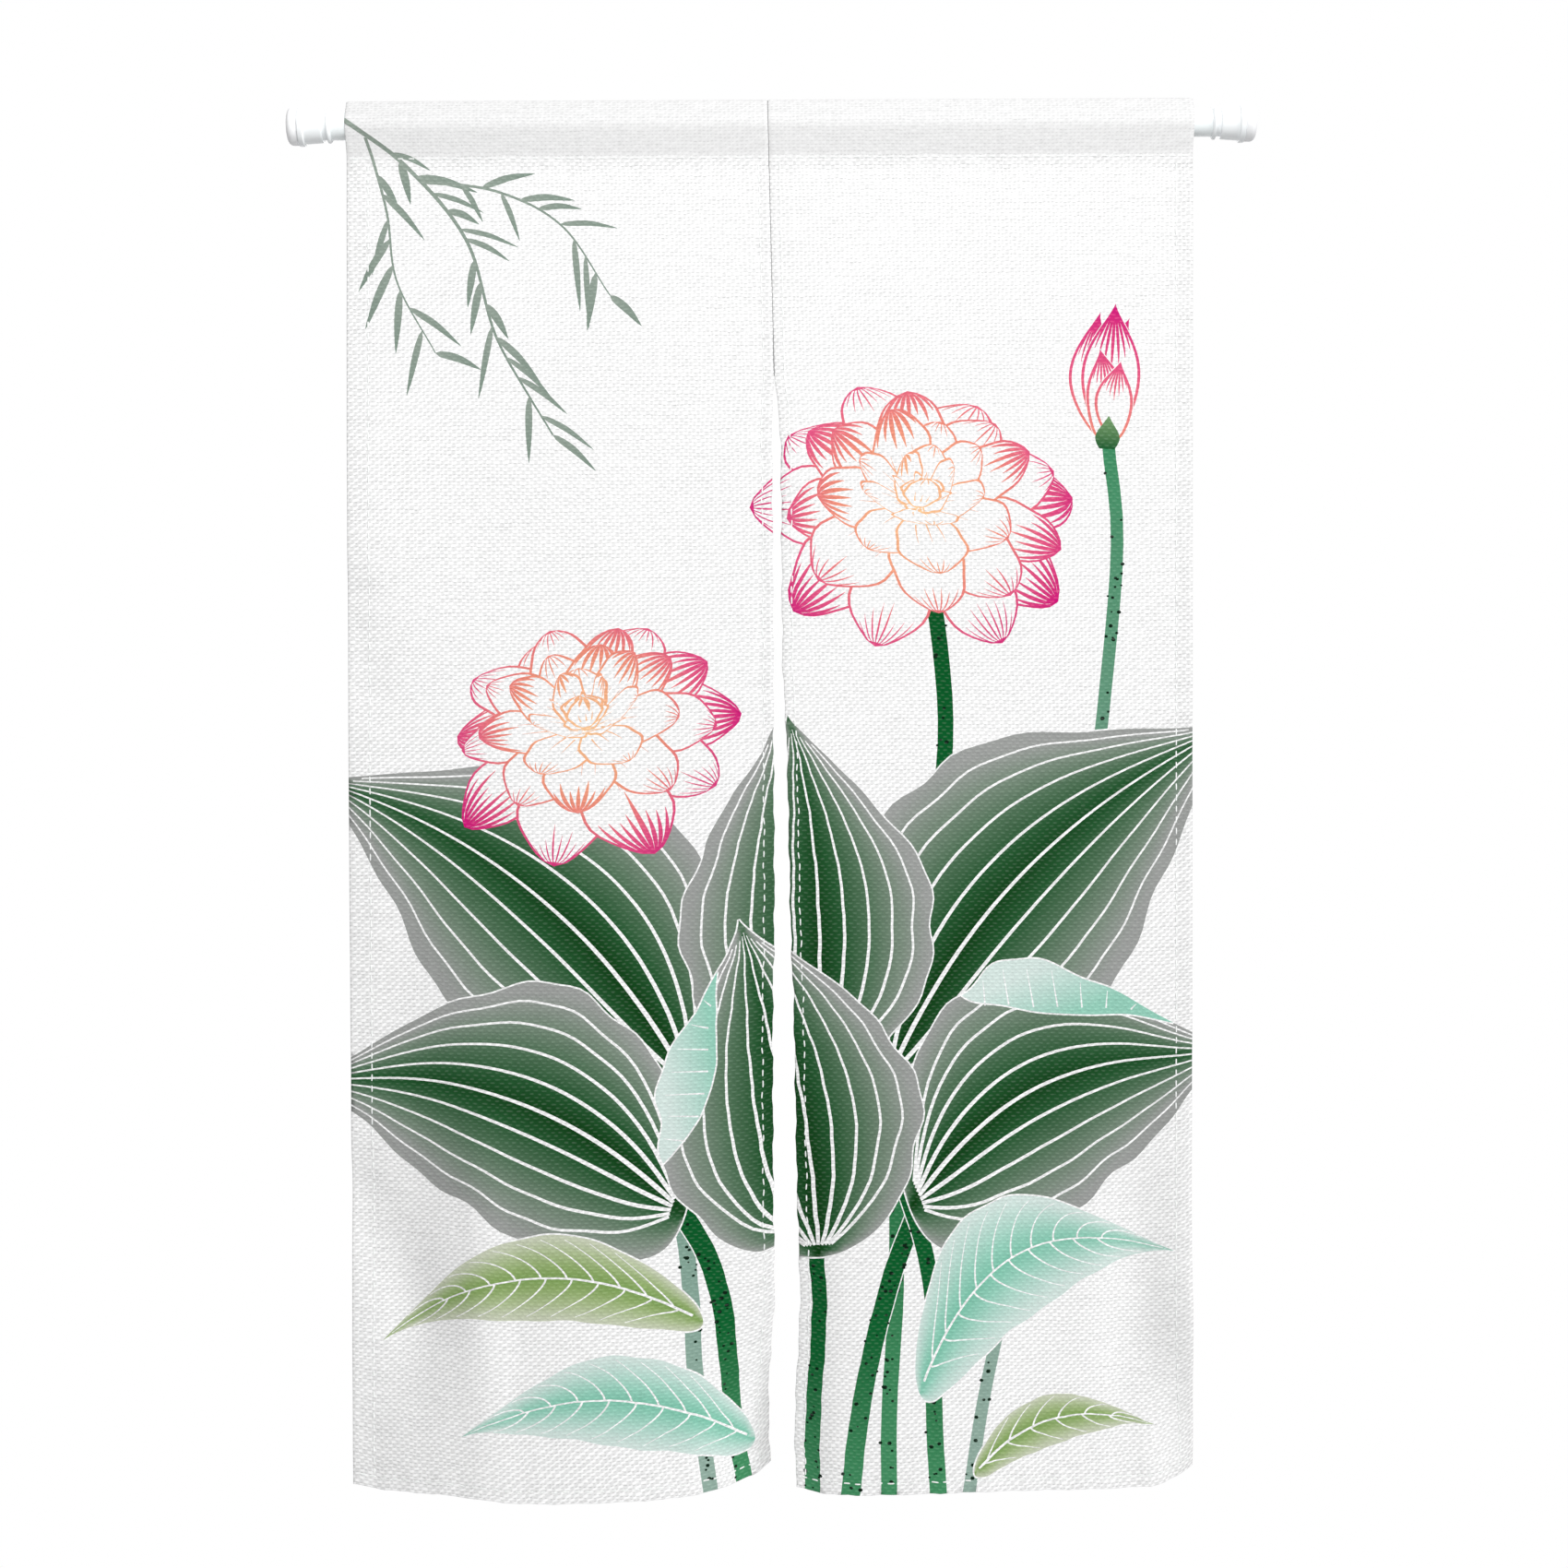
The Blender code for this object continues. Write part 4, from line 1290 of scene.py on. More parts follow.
def triangles_with(panel, offset):
    """Flat places and triangles of a panel, cut along the outlines of the print."""
    width = panel_width(panel)
    columns, rows = columns_of(panel), rows_of()
    grid = np.dstack(np.meshgrid(columns, rows)).reshape(-1, 2)
    corners = np.array([[0, S_BACK], [width, S_BACK], [width, S_HEM], [0, S_HEM]])
    points, edges = [grid, corners], [np.array([[0, 1], [1, 2], [2, 3], [3, 0]]) + len(grid)]
    count = len(grid) + 4
    for shape in PRINT:
        outline = shape.outline - [offset, 0.0]
        low, high = outline.min(0), outline.max(0)
        if high[0] < 0 or low[0] > width or high[1] < S_BACK or low[1] > S_HEM:
            continue
        index = np.arange(len(outline)) + count
        points.append(outline)
        edges.append(np.column_stack([index, np.roll(index, -1)]))
        count += len(outline)
    places = [Vector(point) for point in np.vstack(points)]
    links = [tuple(map(int, edge)) for edge in np.vstack(edges)]
    verts, _, faces, _, _, _ = delaunay_2d_cdt(places, links, [], 0, CDT_EPSILON, False)
    flat = np.array([tuple(vert) for vert in verts])
    faces = np.array(faces)
    middle = flat[faces].mean(1)
    inside = (middle[:, 0] > 0) & (middle[:, 0] < width) & (middle[:, 1] > S_BACK) & (middle[:, 1] < S_HEM)
    faces = faces[inside]
    used, index = np.unique(faces, return_inverse=True)
    return np.clip(flat[used], [0, S_BACK], [width, S_HEM]), index.reshape(faces.shape)


def inks_of(flat, faces, offset):
    """Colour and cover of each triangle's three corners: the last shape that holds its middle."""
    places = flat + [offset, 0.0]
    middle = places[faces].mean(1)
    top = np.full(len(faces), -1)
    for number, shape in enumerate(PRINT):
        low, high = shape.outline.min(0), shape.outline.max(0)
        near = np.flatnonzero(np.all((middle > low) & (middle < high), axis=1))
        if len(near):
            top[near[holds(shape.outline, middle[near])]] = number
    colour = np.zeros((len(faces), 3, 4))
    for number in np.unique(top[top >= 0]):
        if PRINT[number].paint is None:
            continue
        rows = np.flatnonzero(top == number)
        corners = places[faces[rows]].reshape(-1, 2)
        colour[rows, :, :3] = PRINT[number].paint(corners).reshape(-1, 3, 3)
        colour[rows, :, 3] = 1.0
    return colour


print("paint is ready for", len(PRINT), "shapes")

# %% [markdown]
# ## The woven cloth
#
# The cloth is a coarse plain weave. What shows are the oval floats of the threads across, in rows
# 3.5 mm apart, each row half a float out of step with the next. A place in such a brick pattern is
# near the middle of a float of an even row or of an odd one. Two ping-pong waves give both
# distances, and the smaller of the two ellipse sums is 0 in the middle of a float and above 1
# between floats. Most of the weave's light and shade is painted into the colour: painted shade on
# the ground between floats, and small painted shadows where one float ends over the middle of the
# next, so twice in a float's length and once in a row. Slow noise moves the threads off their lines
# and leans the floats one way and another, and noise drawn out along each thread makes it thick
# and thin, as real yarn is. The ink sits on the floats, and their crests show as fine dashes: the
# ground between them gets painted shade and the crests a painted highlight. Three bands across the
# cloth get a soft painted shade: the crest, the pocket, and the cloth just under it. The doubled
# hems get a faint painted shade too.

# %% Sizes and shades of the weave
FLOAT_PITCH = 0.00853
ROW_PITCH = 0.00348
FLOAT_HALF_LENGTH = 0.00262
FLOAT_HALF_HEIGHT = 0.00165
FLOAT_TILT = 0.40
CREST_HALF_HEIGHT = 0.00095
MARK_HALF_LENGTH = 0.00150
MARK_HALF_HEIGHT = 0.00065
WEAVE_HEIGHT = 0.00016
CLOTH_WHITE = (254, 254, 254)
# The next two are a painted highlight: a pale colour on the crests of the inked floats, and its cover.
INK_CREST_PAINTED_HIGHLIGHT = (200, 208, 202)
CREST_HIGHLIGHT_COVER = 0.09
INK_THROUGH = 0.30
BACK_BRIGHTNESS = 0.985
# The shades of the ground, the marks and the ink below are painted shade of the weave's relief. The tone and
# yarn shades are the yarn's own random tone.
GROUND_PAINTED_SHADE = 0.20
MARK_PAINTED_SHADOW = 0.21
TONE_SHADE = 0.15
YARN_SHADE = 0.05
INK_PAINTED_SHADE = 0.13
INK_MARK_PAINTED_SHADOW = 0.10
INK_YARN_SHADE = 0.12
# Painted shade on the doubled hems.
HEM_PAINTED_SHADE = 0.038

# Bands of painted shade across the cloth, by the way along it: over the rod's crest, on the pocket, and just
# under the sewn line.
PaintedShadeBand = namedtuple("PaintedShadeBand", "shade clear_from full_to")
POCKET_PAINTED_SHADE = PaintedShadeBand(0.085, POCKET_LENGTH + 0.012, POCKET_LENGTH - 0.006)
CREST_PAINTED_SHADE = PaintedShadeBand(0.150, 0.042, 0.022)
UNDER_POCKET_PAINTED_SHADE = PaintedShadeBand(0.105, POCKET_LENGTH + 0.017, POCKET_LENGTH + 0.001)
UNDER_POCKET_PAINTED_SHADE_TOP = (POCKET_LENGTH - 0.010, POCKET_LENGTH - 0.003)

Cloud = namedtuple("Cloud", "scale location stretch")
CLOUDS = {
    "drift across": Cloud(60.0, (0, 0, 0), (1, 1, 1)),
    "drift down": Cloud(52.0, (0.31, 0.77, 0), (1, 1, 1)),
    "yarn": Cloud(300.0, (0, 0, 0), (1.0, 0.07, 1.0)),
    "pick": Cloud(330.0, (0, 0, 0), (0.07, 1.0, 1.0)),
    "patch": Cloud(230.0, (0, 0, 0), (1, 1, 1)),
    "tone": Cloud(140.0, (0.9, 0.4, 0), (1, 1, 1)),
}
TILT_SCALE = 4.0
TILT_SPREAD = 1.6

print(f"{1 / ROW_PITCH:.0f} rows of floats in a metre of cloth")

# %% [markdown]
# One wave pattern serves the floats and another the painted shadow marks. The finish adds them up:
# white times a shade, and over it the ink times its own shade. Both shades are mostly painted light
# and shade, with the yarn's own random tone in them.


# %% Finish of the cloth
def brick(finish, x, y, half_length, half_height):
    """The ellipse sum round the nearest float: the square of the way along it over its half
    length, plus the square of the way across it over its half height."""
    x_even = finish.math("PINGPONG", x, FLOAT_PITCH / 2)
    y_even = finish.math("PINGPONG", y, ROW_PITCH)
    x_odd = FLOAT_PITCH / 2 - x_even
    y_odd = ROW_PITCH - y_even
    even = (x_even * (1 / half_length)) ** 2.0 + (y_even * (1 / half_height)) ** 2.0
    odd = (x_odd * (1 / half_length)) ** 2.0 + (y_odd * (1 / half_height)) ** 2.0
    return finish.math("MINIMUM", even, odd)


def marks(finish, x, y):
    """The ellipse sum round the nearest painted shadow, twice in a float's length and once in a row."""
    along = finish.math("PINGPONG", x, FLOAT_PITCH / 4) * (1 / MARK_HALF_LENGTH)
    over = (ROW_PITCH / 2 - finish.math("PINGPONG", y, ROW_PITCH / 2)) * (1 / MARK_HALF_HEIGHT)
    return along**2.0 + over**2.0


def woven(name, ink_strength, brightness):
    """The cloth's finish: white times a shade, with the ink over it by its cover. The shade is mostly
    painted shade of the weave, the hems and three bands, with the yarn's own tone. The ink's
    strength is 1 on the printed face and low on its back."""
    finish = Finish(name, roughness=0.95, gloss=0.08)
    cut = finish.node("ShaderNodeUVMap", {"uv_map": "cut"}).outputs["UV"]
    place = finish.node("ShaderNodeSeparateXYZ", inputs={0: cut})
    across, down = Term(finish, place.outputs[0]), Term(finish, place.outputs[1])

    def cloud(row):
        """Noise about 0, read at a moved and stretched place."""
        values = {"Vector": cut, "Location": row.location, "Scale": row.stretch}
        moved = finish.node("ShaderNodeMapping", inputs=values).outputs[0]
        return finish.noise(moved, row.scale) - 0.5

    drift, second_drift, yarn, pick, patch, tone = (cloud(row) for row in CLOUDS.values())
    x = across + (drift * 0.75 + yarn * 0.30 + patch * 0.30) * FLOAT_PITCH
    y = down + (second_drift * 1.10 + pick * 0.50) * ROW_PITCH
    lean = finish.math("SINE", x * (2 * pi / FLOAT_PITCH)) * finish.math("SINE", y * (pi / ROW_PITCH))
    tilt = (finish.noise(cut, TILT_SCALE, 0.0) - 0.5) * TILT_SPREAD + FLOAT_TILT
    oval = brick(finish, x, y, FLOAT_HALF_LENGTH, FLOAT_HALF_HEIGHT) + lean * tilt + patch * 1.1
    # Raised is 1 on the floats: it drives the bump and the painted shade on the ground between them.
    raised = finish.between(oval, 1.50, 0.10)
    slim = brick(finish, x, y, FLOAT_HALF_LENGTH, CREST_HALF_HEIGHT) + patch
    crest = finish.between(slim, 1.30, 0.10)
    # Mark is 1 at the small painted shadows where one float ends over the middle of the next.
    mark = finish.between(marks(finish, x, y) + (patch + pick) * 1.6, 1.20, -0.10)
    # The hem attribute weights the faint painted shade on the doubled hems.
    hem = Term(finish, finish.node("ShaderNodeAttribute", {"attribute_name": "hem"}).outputs["Fac"])
    # Painted shade in three bands: on the pocket, over the rod's crest, and just under the sewn line.
    pocket = finish.between(down, POCKET_PAINTED_SHADE.clear_from, POCKET_PAINTED_SHADE.full_to)
    over_rod = finish.between(down, CREST_PAINTED_SHADE.clear_from, CREST_PAINTED_SHADE.full_to)
    under_pocket = finish.between(down, UNDER_POCKET_PAINTED_SHADE.clear_from, UNDER_POCKET_PAINTED_SHADE.full_to)
    under_pocket = under_pocket * finish.between(down, *UNDER_POCKET_PAINTED_SHADE_TOP)
    bands = pocket * POCKET_PAINTED_SHADE.shade + over_rod * CREST_PAINTED_SHADE.shade + under_pocket * UNDER_POCKET_PAINTED_SHADE.shade
    ground = (1.0 - pocket * 0.75) * GROUND_PAINTED_SHADE
    mark_shadow_depth = (1.0 - pocket * 0.35) * MARK_PAINTED_SHADOW
    # White's shade: painted shade of the weave, the hems and the bands, plus the yarn's own random tone.
    shade = 1.0 - (1.0 - raised) * ground - mark * mark_shadow_depth - hem * HEM_PAINTED_SHADE - bands
    shade = shade + (yarn + pick) * YARN_SHADE + tone * TONE_SHADE
    white = finish.mix(1.0, opaque(*CLOTH_WHITE), finish.grey(shade * brightness), "MULTIPLY")
    print_node = finish.node("ShaderNodeAttribute", {"attribute_name": "ink"})
    # The ink's shade: painted shade off the crests, at the marks and on the hems, plus the yarn's random
    # tone.
    ink_painted_shade_and_yarn = 1.0 - (1.0 - crest) * INK_PAINTED_SHADE - mark * INK_MARK_PAINTED_SHADOW - hem * HEM_PAINTED_SHADE
    ink_painted_shade_and_yarn = ink_painted_shade_and_yarn + (yarn + pick) * INK_YARN_SHADE
    shaded_ink = finish.mix(1.0, print_node.outputs["Color"], finish.grey(ink_painted_shade_and_yarn), "MULTIPLY")
    # A painted highlight: a pale colour over the ink on the crests of the floats.
    ink_with_painted_highlight = finish.mix(crest * (patch + 0.7) * CREST_HIGHLIGHT_COVER, shaded_ink, opaque(*INK_CREST_PAINTED_HIGHLIGHT))
    cover = Term(finish, print_node.outputs["Alpha"]) * ink_strength
    finish.colour(finish.mix(cover, white, ink_with_painted_highlight))
    finish.raised((raised + (yarn + pick) * 0.25) * (1.0 - pocket * 0.6), WEAVE_HEIGHT)
    return finish.material


front_cloth = woven("woven cloth, printed face", 1.0, 1.0)
back_cloth = woven("woven cloth, back of the print", INK_THROUGH, BACK_BRIGHTNESS)
print("weave repeats every", FLOAT_PITCH, "by", 2 * ROW_PITCH, "m")

# %% [markdown]
# Each panel is now made: the flat triangles are hung, and the corner colours go into an attribute.
# Solidify could give the cloth its thickness, but it follows the normals of the triangles, and the
# print's outlines leave some that are very narrow. So the back is the same points moved inwards
# along the normals of the hung table, by twice as much on the hems, and both faces are shaded by
# those normals. Quads join front and back along the rim.

# %% Make the two panels
JOIN_GAP = 0.0004
SLIT_OFFSET = {"left": 0.0, "right": panel_width(PANELS[0]) + JOIN_GAP}
HEM_MARGIN = 0.0004
# How the hems' painted shade fades down the panel.
HEM_FADE = 0.7
HEM_FADE_STARTS = 0.50
HEM_FADE_SPAN = 0.35


def hem_weights(panel, flat):
    """1 on the turned hems, and 0 elsewhere on the cloth."""
    a, s = flat.T
    width = panel_width(panel)
    side_hem = (a < panel.left_hem + HEM_MARGIN) | (a > width - panel.right_hem - HEM_MARGIN)
    below_pocket = s > POCKET_LENGTH + POCKET_TAIL
    return (side_hem & below_pocket) | (s > S_HEM - BOTTOM_HEM - HEM_MARGIN)


def rim_of(faces):
    """The edges that only one triangle has, as rows of three edges to a triangle."""
    edges = np.vstack([faces[:, [0, 1]], faces[:, [1, 2]], faces[:, [2, 0]]])
    known = np.sort(edges, axis=1) @ [edges.max() + 1, 1]
    _, first, uses = np.unique(known, return_index=True, return_counts=True)
    return edges, first[uses == 1]


def with_back(faces, colour, count):
    """Faces of the whole sheet and the colours of their corners: the front, the back, which is the
    front turned round on the next points, and quads between the two along the rim."""
    edges, rows = rim_of(faces)
    rim = edges[rows]
    quads = np.hstack([rim[:, ::-1], rim + count])
    rim_colour = np.vstack([colour[:, [0, 1]], colour[:, [1, 2]], colour[:, [2, 0]]])[rows]
    every_face = faces.tolist() + (faces[:, ::-1] + count).tolist() + quads.tolist()
    parts = (colour, colour[:, ::-1], rim_colour[:, [1, 0, 0, 1]])
    return every_face, np.vstack([part.reshape(-1, 4) for part in parts]), np.unique(rim)


def facing_out(flat, faces):
    """The triangles, each turned so that its outer side is the printed one."""
    one = flat[faces[:, 1]] - flat[faces[:, 0]]
    two = flat[faces[:, 2]] - flat[faces[:, 0]]
    wrong = one[:, 0] * two[:, 1] > one[:, 1] * two[:, 0]
    return np.where(wrong[:, None], faces[:, ::-1], faces)


def make_panel(panel):
    """The panel's front is read from the hung table, and its back is the front less the normal
    times the thickness. The hems' faint painted shade fades down the panel by an S curve."""
    cloth = hung[panel.name]
    offset = SLIT_OFFSET[panel.side]
    flat, faces = triangles_with(panel, offset)
    faces = facing_out(flat, faces)
    doubled = hem_weights(panel, flat)
    thickness = np.where(doubled, HEM_CLOTH, CLOTH)[:, None]
    front = cloth.read(cloth.place, flat[:, 0], flat[:, 1])
    normal = cloth.read(cloth.normal, flat[:, 0], flat[:, 1])
    count = len(flat)
    every_face, colour, rim = with_back(faces, inks_of(flat, faces, offset), count)
    points = np.vstack([front, front - normal * thickness])
    made = mesh_object(panel.name + "_cloth", points, every_face, [front_cloth, back_cloth])
    finish_number = np.repeat([0, 1, 0], [len(faces), len(faces), len(every_face) - 2 * len(faces)])
    made.data.polygons.foreach_set("material_index", finish_number)
    corner = np.empty(len(made.data.loops), dtype=int)
    made.data.loops.foreach_get("vertex_index", corner)
    made.data.uv_layers.new(name="cut").data.foreach_set("uv", flat[corner % count].ravel())
    inks = made.data.attributes.new("ink", "FLOAT_COLOR", "CORNER")
    inks.data.foreach_set("color", colour.ravel())
    # The weight of the painted shade on the hems, fading down the panel.
    faded = HEM_FADE * soft_step((flat[:, 1] / S_HEM - HEM_FADE_STARTS) / HEM_FADE_SPAN)
    hems = made.data.attributes.new("hem", "FLOAT", "POINT")
    hems.data.foreach_set("value", np.tile(doubled * (1 - faded), 2).astype(np.float32))
    shading_normal = np.vstack([normal, -normal])
    shading_normal[np.concatenate([rim, rim + count])] = 0.0
    made.data.normals_split_custom_set_from_vertices(shading_normal.tolist())
    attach(made, "root")
    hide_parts(panel.name)
    print(f"{made.name}: {len(points)} points, {len(faces)} triangles on its face")
    return made


cloths = {panel.name: make_panel(panel) for panel in PANELS}

# %% [markdown]
# ## Stitches
#
# The hems and the pocket are sewn with a thick pale thread in stitches 7 mm long every 11 mm. A
# line of dashes in the material would look flat from close by, so each stitch is a small mesh of
# its own: an ellipse across, swept along a line that dips into the cloth at both ends. All the
# stitches of a panel are one array: stitch by ring by side. Those of the pocket lie deeper, and
# their thread gets as much painted shade as the cloth just under the pocket.

# %% Sizes and thread of the stitches
STITCH_PITCH = 0.0111
STITCH_LENGTH = 0.0074
STITCH_HALF_WIDTH = 0.00074
STITCH_HALF_HEIGHT = 0.00036
STITCH_RINGS = 7
STITCH_SIDES = 6
STITCH_LIFT = 0.00022
STITCH_DIP = 0.00045
STITCH_SHIFT = 0.0002
STITCH_TURN = 0.00008
POCKET_STITCH_SUNK = 0.00014
LINE_END = 0.003
STITCH_SEEDS = {"left": 31, "right": 47}
END_TAPER = 0.94
THREAD_GRAIN = 900.0
THREAD_RELIEF = 0.0002
SIDE_LINE_STARTS = 0.004
THREAD_LIT_TO = -0.050
THREAD_SHADED_FROM = -0.040

thread_finish = Finish("sewing thread", roughness=0.8, gloss=0.2)
thread_place = thread_finish.node("ShaderNodeTexCoord").outputs["Object"]
thread_twist = thread_finish.noise(thread_place, THREAD_GRAIN)
thread_colour = thread_finish.mix(thread_twist, opaque(236, 240, 238), opaque(252, 253, 252))
# The thread of the pocket's stitches, above these heights, gets painted shade as dark as the cloth's just
# under the pocket.
thread_parts = thread_finish.node("ShaderNodeSeparateXYZ", inputs={0: thread_place})
thread_height = Term(thread_finish, thread_parts.outputs[2])
pocket_thread_shade_mask = thread_finish.between(thread_height, THREAD_LIT_TO, THREAD_SHADED_FROM)
thread_painted_shade = thread_finish.grey(1.0 - pocket_thread_shade_mask * UNDER_POCKET_PAINTED_SHADE.shade)
thread_finish.colour(thread_finish.mix(1.0, thread_colour, thread_painted_shade, "MULTIPLY"))
thread_finish.raised(thread_twist, THREAD_RELIEF)

print(f"thread {2000 * STITCH_HALF_WIDTH:.1f} mm wide")

# %% [markdown]
# Each line of stitches runs between two places on the cutting table. The stitches are laid out
# flat there, and then read from the hung cloth with their normals.


# %% Lay the stitches
def stitch_line(a_start, s_start, a_end, s_end):
    """Middles of the stitches along a straight line on the cloth, and the line's direction."""
    start, end = np.array([a_start, s_start]), np.array([a_end, s_end])
    length = np.hypot(*(end - start))
    count = int(length / STITCH_PITCH)
    share = (np.arange(count) + 0.5) / count
    along = (end - start) / length
    return start + share[:, None] * (end - start), np.tile(along, (count, 1))


def sewn_lines(panel):
    """The stitch lines of a panel: both side hems, the bottom hem and the pocket."""
    width = panel_width(panel)
    left = panel.left_hem - STITCH_IN
    right = width - panel.right_hem + STITCH_IN
    bottom = S_HEM - BOTTOM_HEM + STITCH_IN
    lines = [
        stitch_line(left, POCKET_LENGTH + SIDE_LINE_STARTS, left, bottom),
        stitch_line(right, POCKET_LENGTH + SIDE_LINE_STARTS, right, bottom),
        stitch_line(LINE_END, bottom, width - LINE_END, bottom),
        stitch_line(LINE_END, POCKET_LENGTH, width - LINE_END, POCKET_LENGTH),
    ]
    return [np.vstack(part) for part in zip(*lines)]


def sew(panel, behind):
    """Points of all stitches on one side of the cloth: centre line plus an ellipse round it, half
    a width times cosine across and half a height times sine along the normal. The line is lifted
    off the cloth, and dips by the fourth power of the way to its ends."""
    cloth = hung[panel.name]
    middle, along = sewn_lines(panel)
    count = len(middle)
    chance = np.random.default_rng(STITCH_SEEDS[panel.side])
    t = np.linspace(-1, 1, STITCH_RINGS)
    length = STITCH_LENGTH * chance.uniform(0.90, 1.06, (count, 1))
    shift = (STITCH_PITCH / 2 if behind else 0.0) + chance.normal(0, STITCH_SHIFT, (count, 1))
    run = (t[None, :] * length / 2 + shift)[..., None]
    wobble = (chance.normal(0, STITCH_TURN, (count, 1)) * t[None, :])[..., None]
    cross = along[:, ::-1] * [1.0, -1.0]
    flat = middle[:, None, :] + run * along[:, None, :] + wobble * cross[:, None, :]
    a, s = flat[..., 0].ravel(), flat[..., 1].ravel()
    place = cloth.read(cloth.place, a, s).reshape(count, STITCH_RINGS, 3)
    normal = cloth.read(cloth.normal, a, s).reshape(count, STITCH_RINGS, 3)
    on_pocket = (s <= POCKET_LENGTH + POCKET_TAIL / 2).reshape(count, STITCH_RINGS, 1)
    if behind:
        place = place - normal * np.where(on_pocket, 2 * CLOTH + GAP, HEM_CLOTH)
        normal = -normal
    ahead = unit(np.gradient(place, axis=1))
    side = np.cross(normal, ahead)
    taper = np.sqrt(np.maximum(1 - (END_TAPER * t) ** 4, 0.0))[None, :, None, None]
    lift = STITCH_LIFT - POCKET_STITCH_SUNK * on_pocket - STITCH_DIP * t[None, :, None] ** 4
    lifted = place + normal * lift
    turn = np.linspace(0, 2 * pi, STITCH_SIDES, endpoint=False)[None, None, :, None]
    wide = side[:, :, None, :] * (STITCH_HALF_WIDTH * np.cos(turn) * taper)
    high = normal[:, :, None, :] * (STITCH_HALF_HEIGHT * np.sin(turn) * taper)
    return lifted[:, :, None, :] + wide + high


def tube_faces(index):
    """Quads round a tube, from the numbers of its points as rings by sides. The sides close."""
    over = np.roll(index, -1, axis=1)
    return np.dstack([index[:-1], index[1:], over[1:], over[:-1]]).reshape(-1, 4)


def stitches_of(panel):
    """One mesh with all the stitches of a panel, in front and behind, each a tube with two ends."""
    points = np.vstack([sew(panel, False), sew(panel, True)])
    count = len(points)
    index = np.arange(STITCH_RINGS * STITCH_SIDES).reshape(STITCH_RINGS, STITCH_SIDES)
    start = (np.arange(count) * index.size)[:, None]
    faces = (start[..., None] + tube_faces(index)[None]).reshape(-1, 4).tolist()
    faces += (start + index[0, ::-1]).tolist() + (start + index[-1]).tolist()
    name = panel.name + "_stitches"
    made = mesh_object(name, points.reshape(-1, 3), faces, [thread_finish.material])
    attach(made, "root")
    print(f"{made.name}: {count} stitches")
    return made


stitches = {panel.name: stitches_of(panel) for panel in PANELS}

# %% [markdown]
# For about the top 28 cm the two panels are sewn to each other. The thread lies down in the seam,
# and its colour is painted dark grey as the shade there, so from the front only a thin grey line
# shows.

# %% Sew the middle seam
SEAM_THREAD = 0.00100
SEAM_DEPTH = 0.0007
SEAM_STARTS = 0.0005
SEAM_STEPS = 120
SEAM_SIDES = 6


def seam_thread():
    """A tube down the seam: its middle is halfway between the two panels' edges and just behind
    their face, from the crest to the seam's end."""
    s = np.linspace(SEAM_STARTS, POCKET_LENGTH + SEAM_END - SEWN_LINE, SEAM_STEPS)
    left, right = hung["panel_left"], hung["panel_right"]
    left_edge = left.read(left.place - left.normal * SEAM_DEPTH, np.full(len(s), left.width), s)
    right_edge = right.read(right.place - right.normal * SEAM_DEPTH, np.zeros(len(s)), s)
    middle = (left_edge + right_edge) / 2
    ahead = unit(np.gradient(middle, axis=0))
    side = unit(np.array([1.0, 0.0, 0.0]) - ahead * ahead[:, :1])[:, None]
    other = np.cross(ahead, side[:, 0])[:, None]
    turn = np.linspace(0, 2 * pi, SEAM_SIDES, endpoint=False)[None, :, None]
    points = middle[:, None] + SEAM_THREAD / 2 * (side * np.cos(turn) + other * np.sin(turn))
    index = np.arange(SEAM_STEPS * SEAM_SIDES).reshape(SEAM_STEPS, SEAM_SIDES)
    faces = tube_faces(index).tolist() + [index[0, ::-1].tolist(), index[-1].tolist()]
    made = mesh_object("seam_thread", points.reshape(-1, 3), faces, [seam_shade_finish.material])
    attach(made, "root")
    return made


# The seam thread's colour is a dark grey, as painted shade in the gap.
seam_shade_finish = Finish("seam thread painted dark for shade", roughness=0.9, gloss=0.1)
seam_place = seam_shade_finish.node("ShaderNodeTexCoord").outputs["Object"]
seam_twist = seam_shade_finish.noise(seam_place, THREAD_GRAIN)
seam_shade_finish.colour(seam_shade_finish.mix(seam_twist, opaque(96, 97, 98), opaque(136, 137, 138)))
seam = seam_thread()
print("seam thread", round(SEAM_END + POCKET_CREST, 3), "m long")

# %% [markdown]
# ## Rod, collars, caps and pads
#
# These are turned or moulded pieces, round about the rod. The solids have their sizes but only 36
# flat sides and sharp edges. Each is replaced by a surface of revolution with a finer outline:
# a profile of places along X and radii, whose corners are rounded, swept round in 96 steps.

# %% Sizes and surfaces of the hard pieces
ROD_WALL = 0.0010
ROD_HALF_LENGTH = 0.4457
COLLAR_RADIUS = 0.0170
COLLAR_WIDTH = 0.0037
COLLAR_LIP = 0.0009
COLLAR_FLARE = 0.0017
PLUG_LENGTH = 0.0250
SHOULDER_RADIUS = 0.0138
SHOULDER_WIDTH = 0.0047
NECK_START_RADIUS = 0.0165
NECK_END_RADIUS = 0.0178
NECK_WIDTH = 0.0185
FLANGE_RADIUS = 0.0200
FLANGE_WIDTH = 0.0056
PAD_RADIUS = 0.0190
PAD_FACE_RADIUS = 0.0135
PAD_WIDTH = 0.0108
TURN_SIDES = 96
ROUND_STEPS = 4
HELD = 1.35
MOST_CUT = 0.36


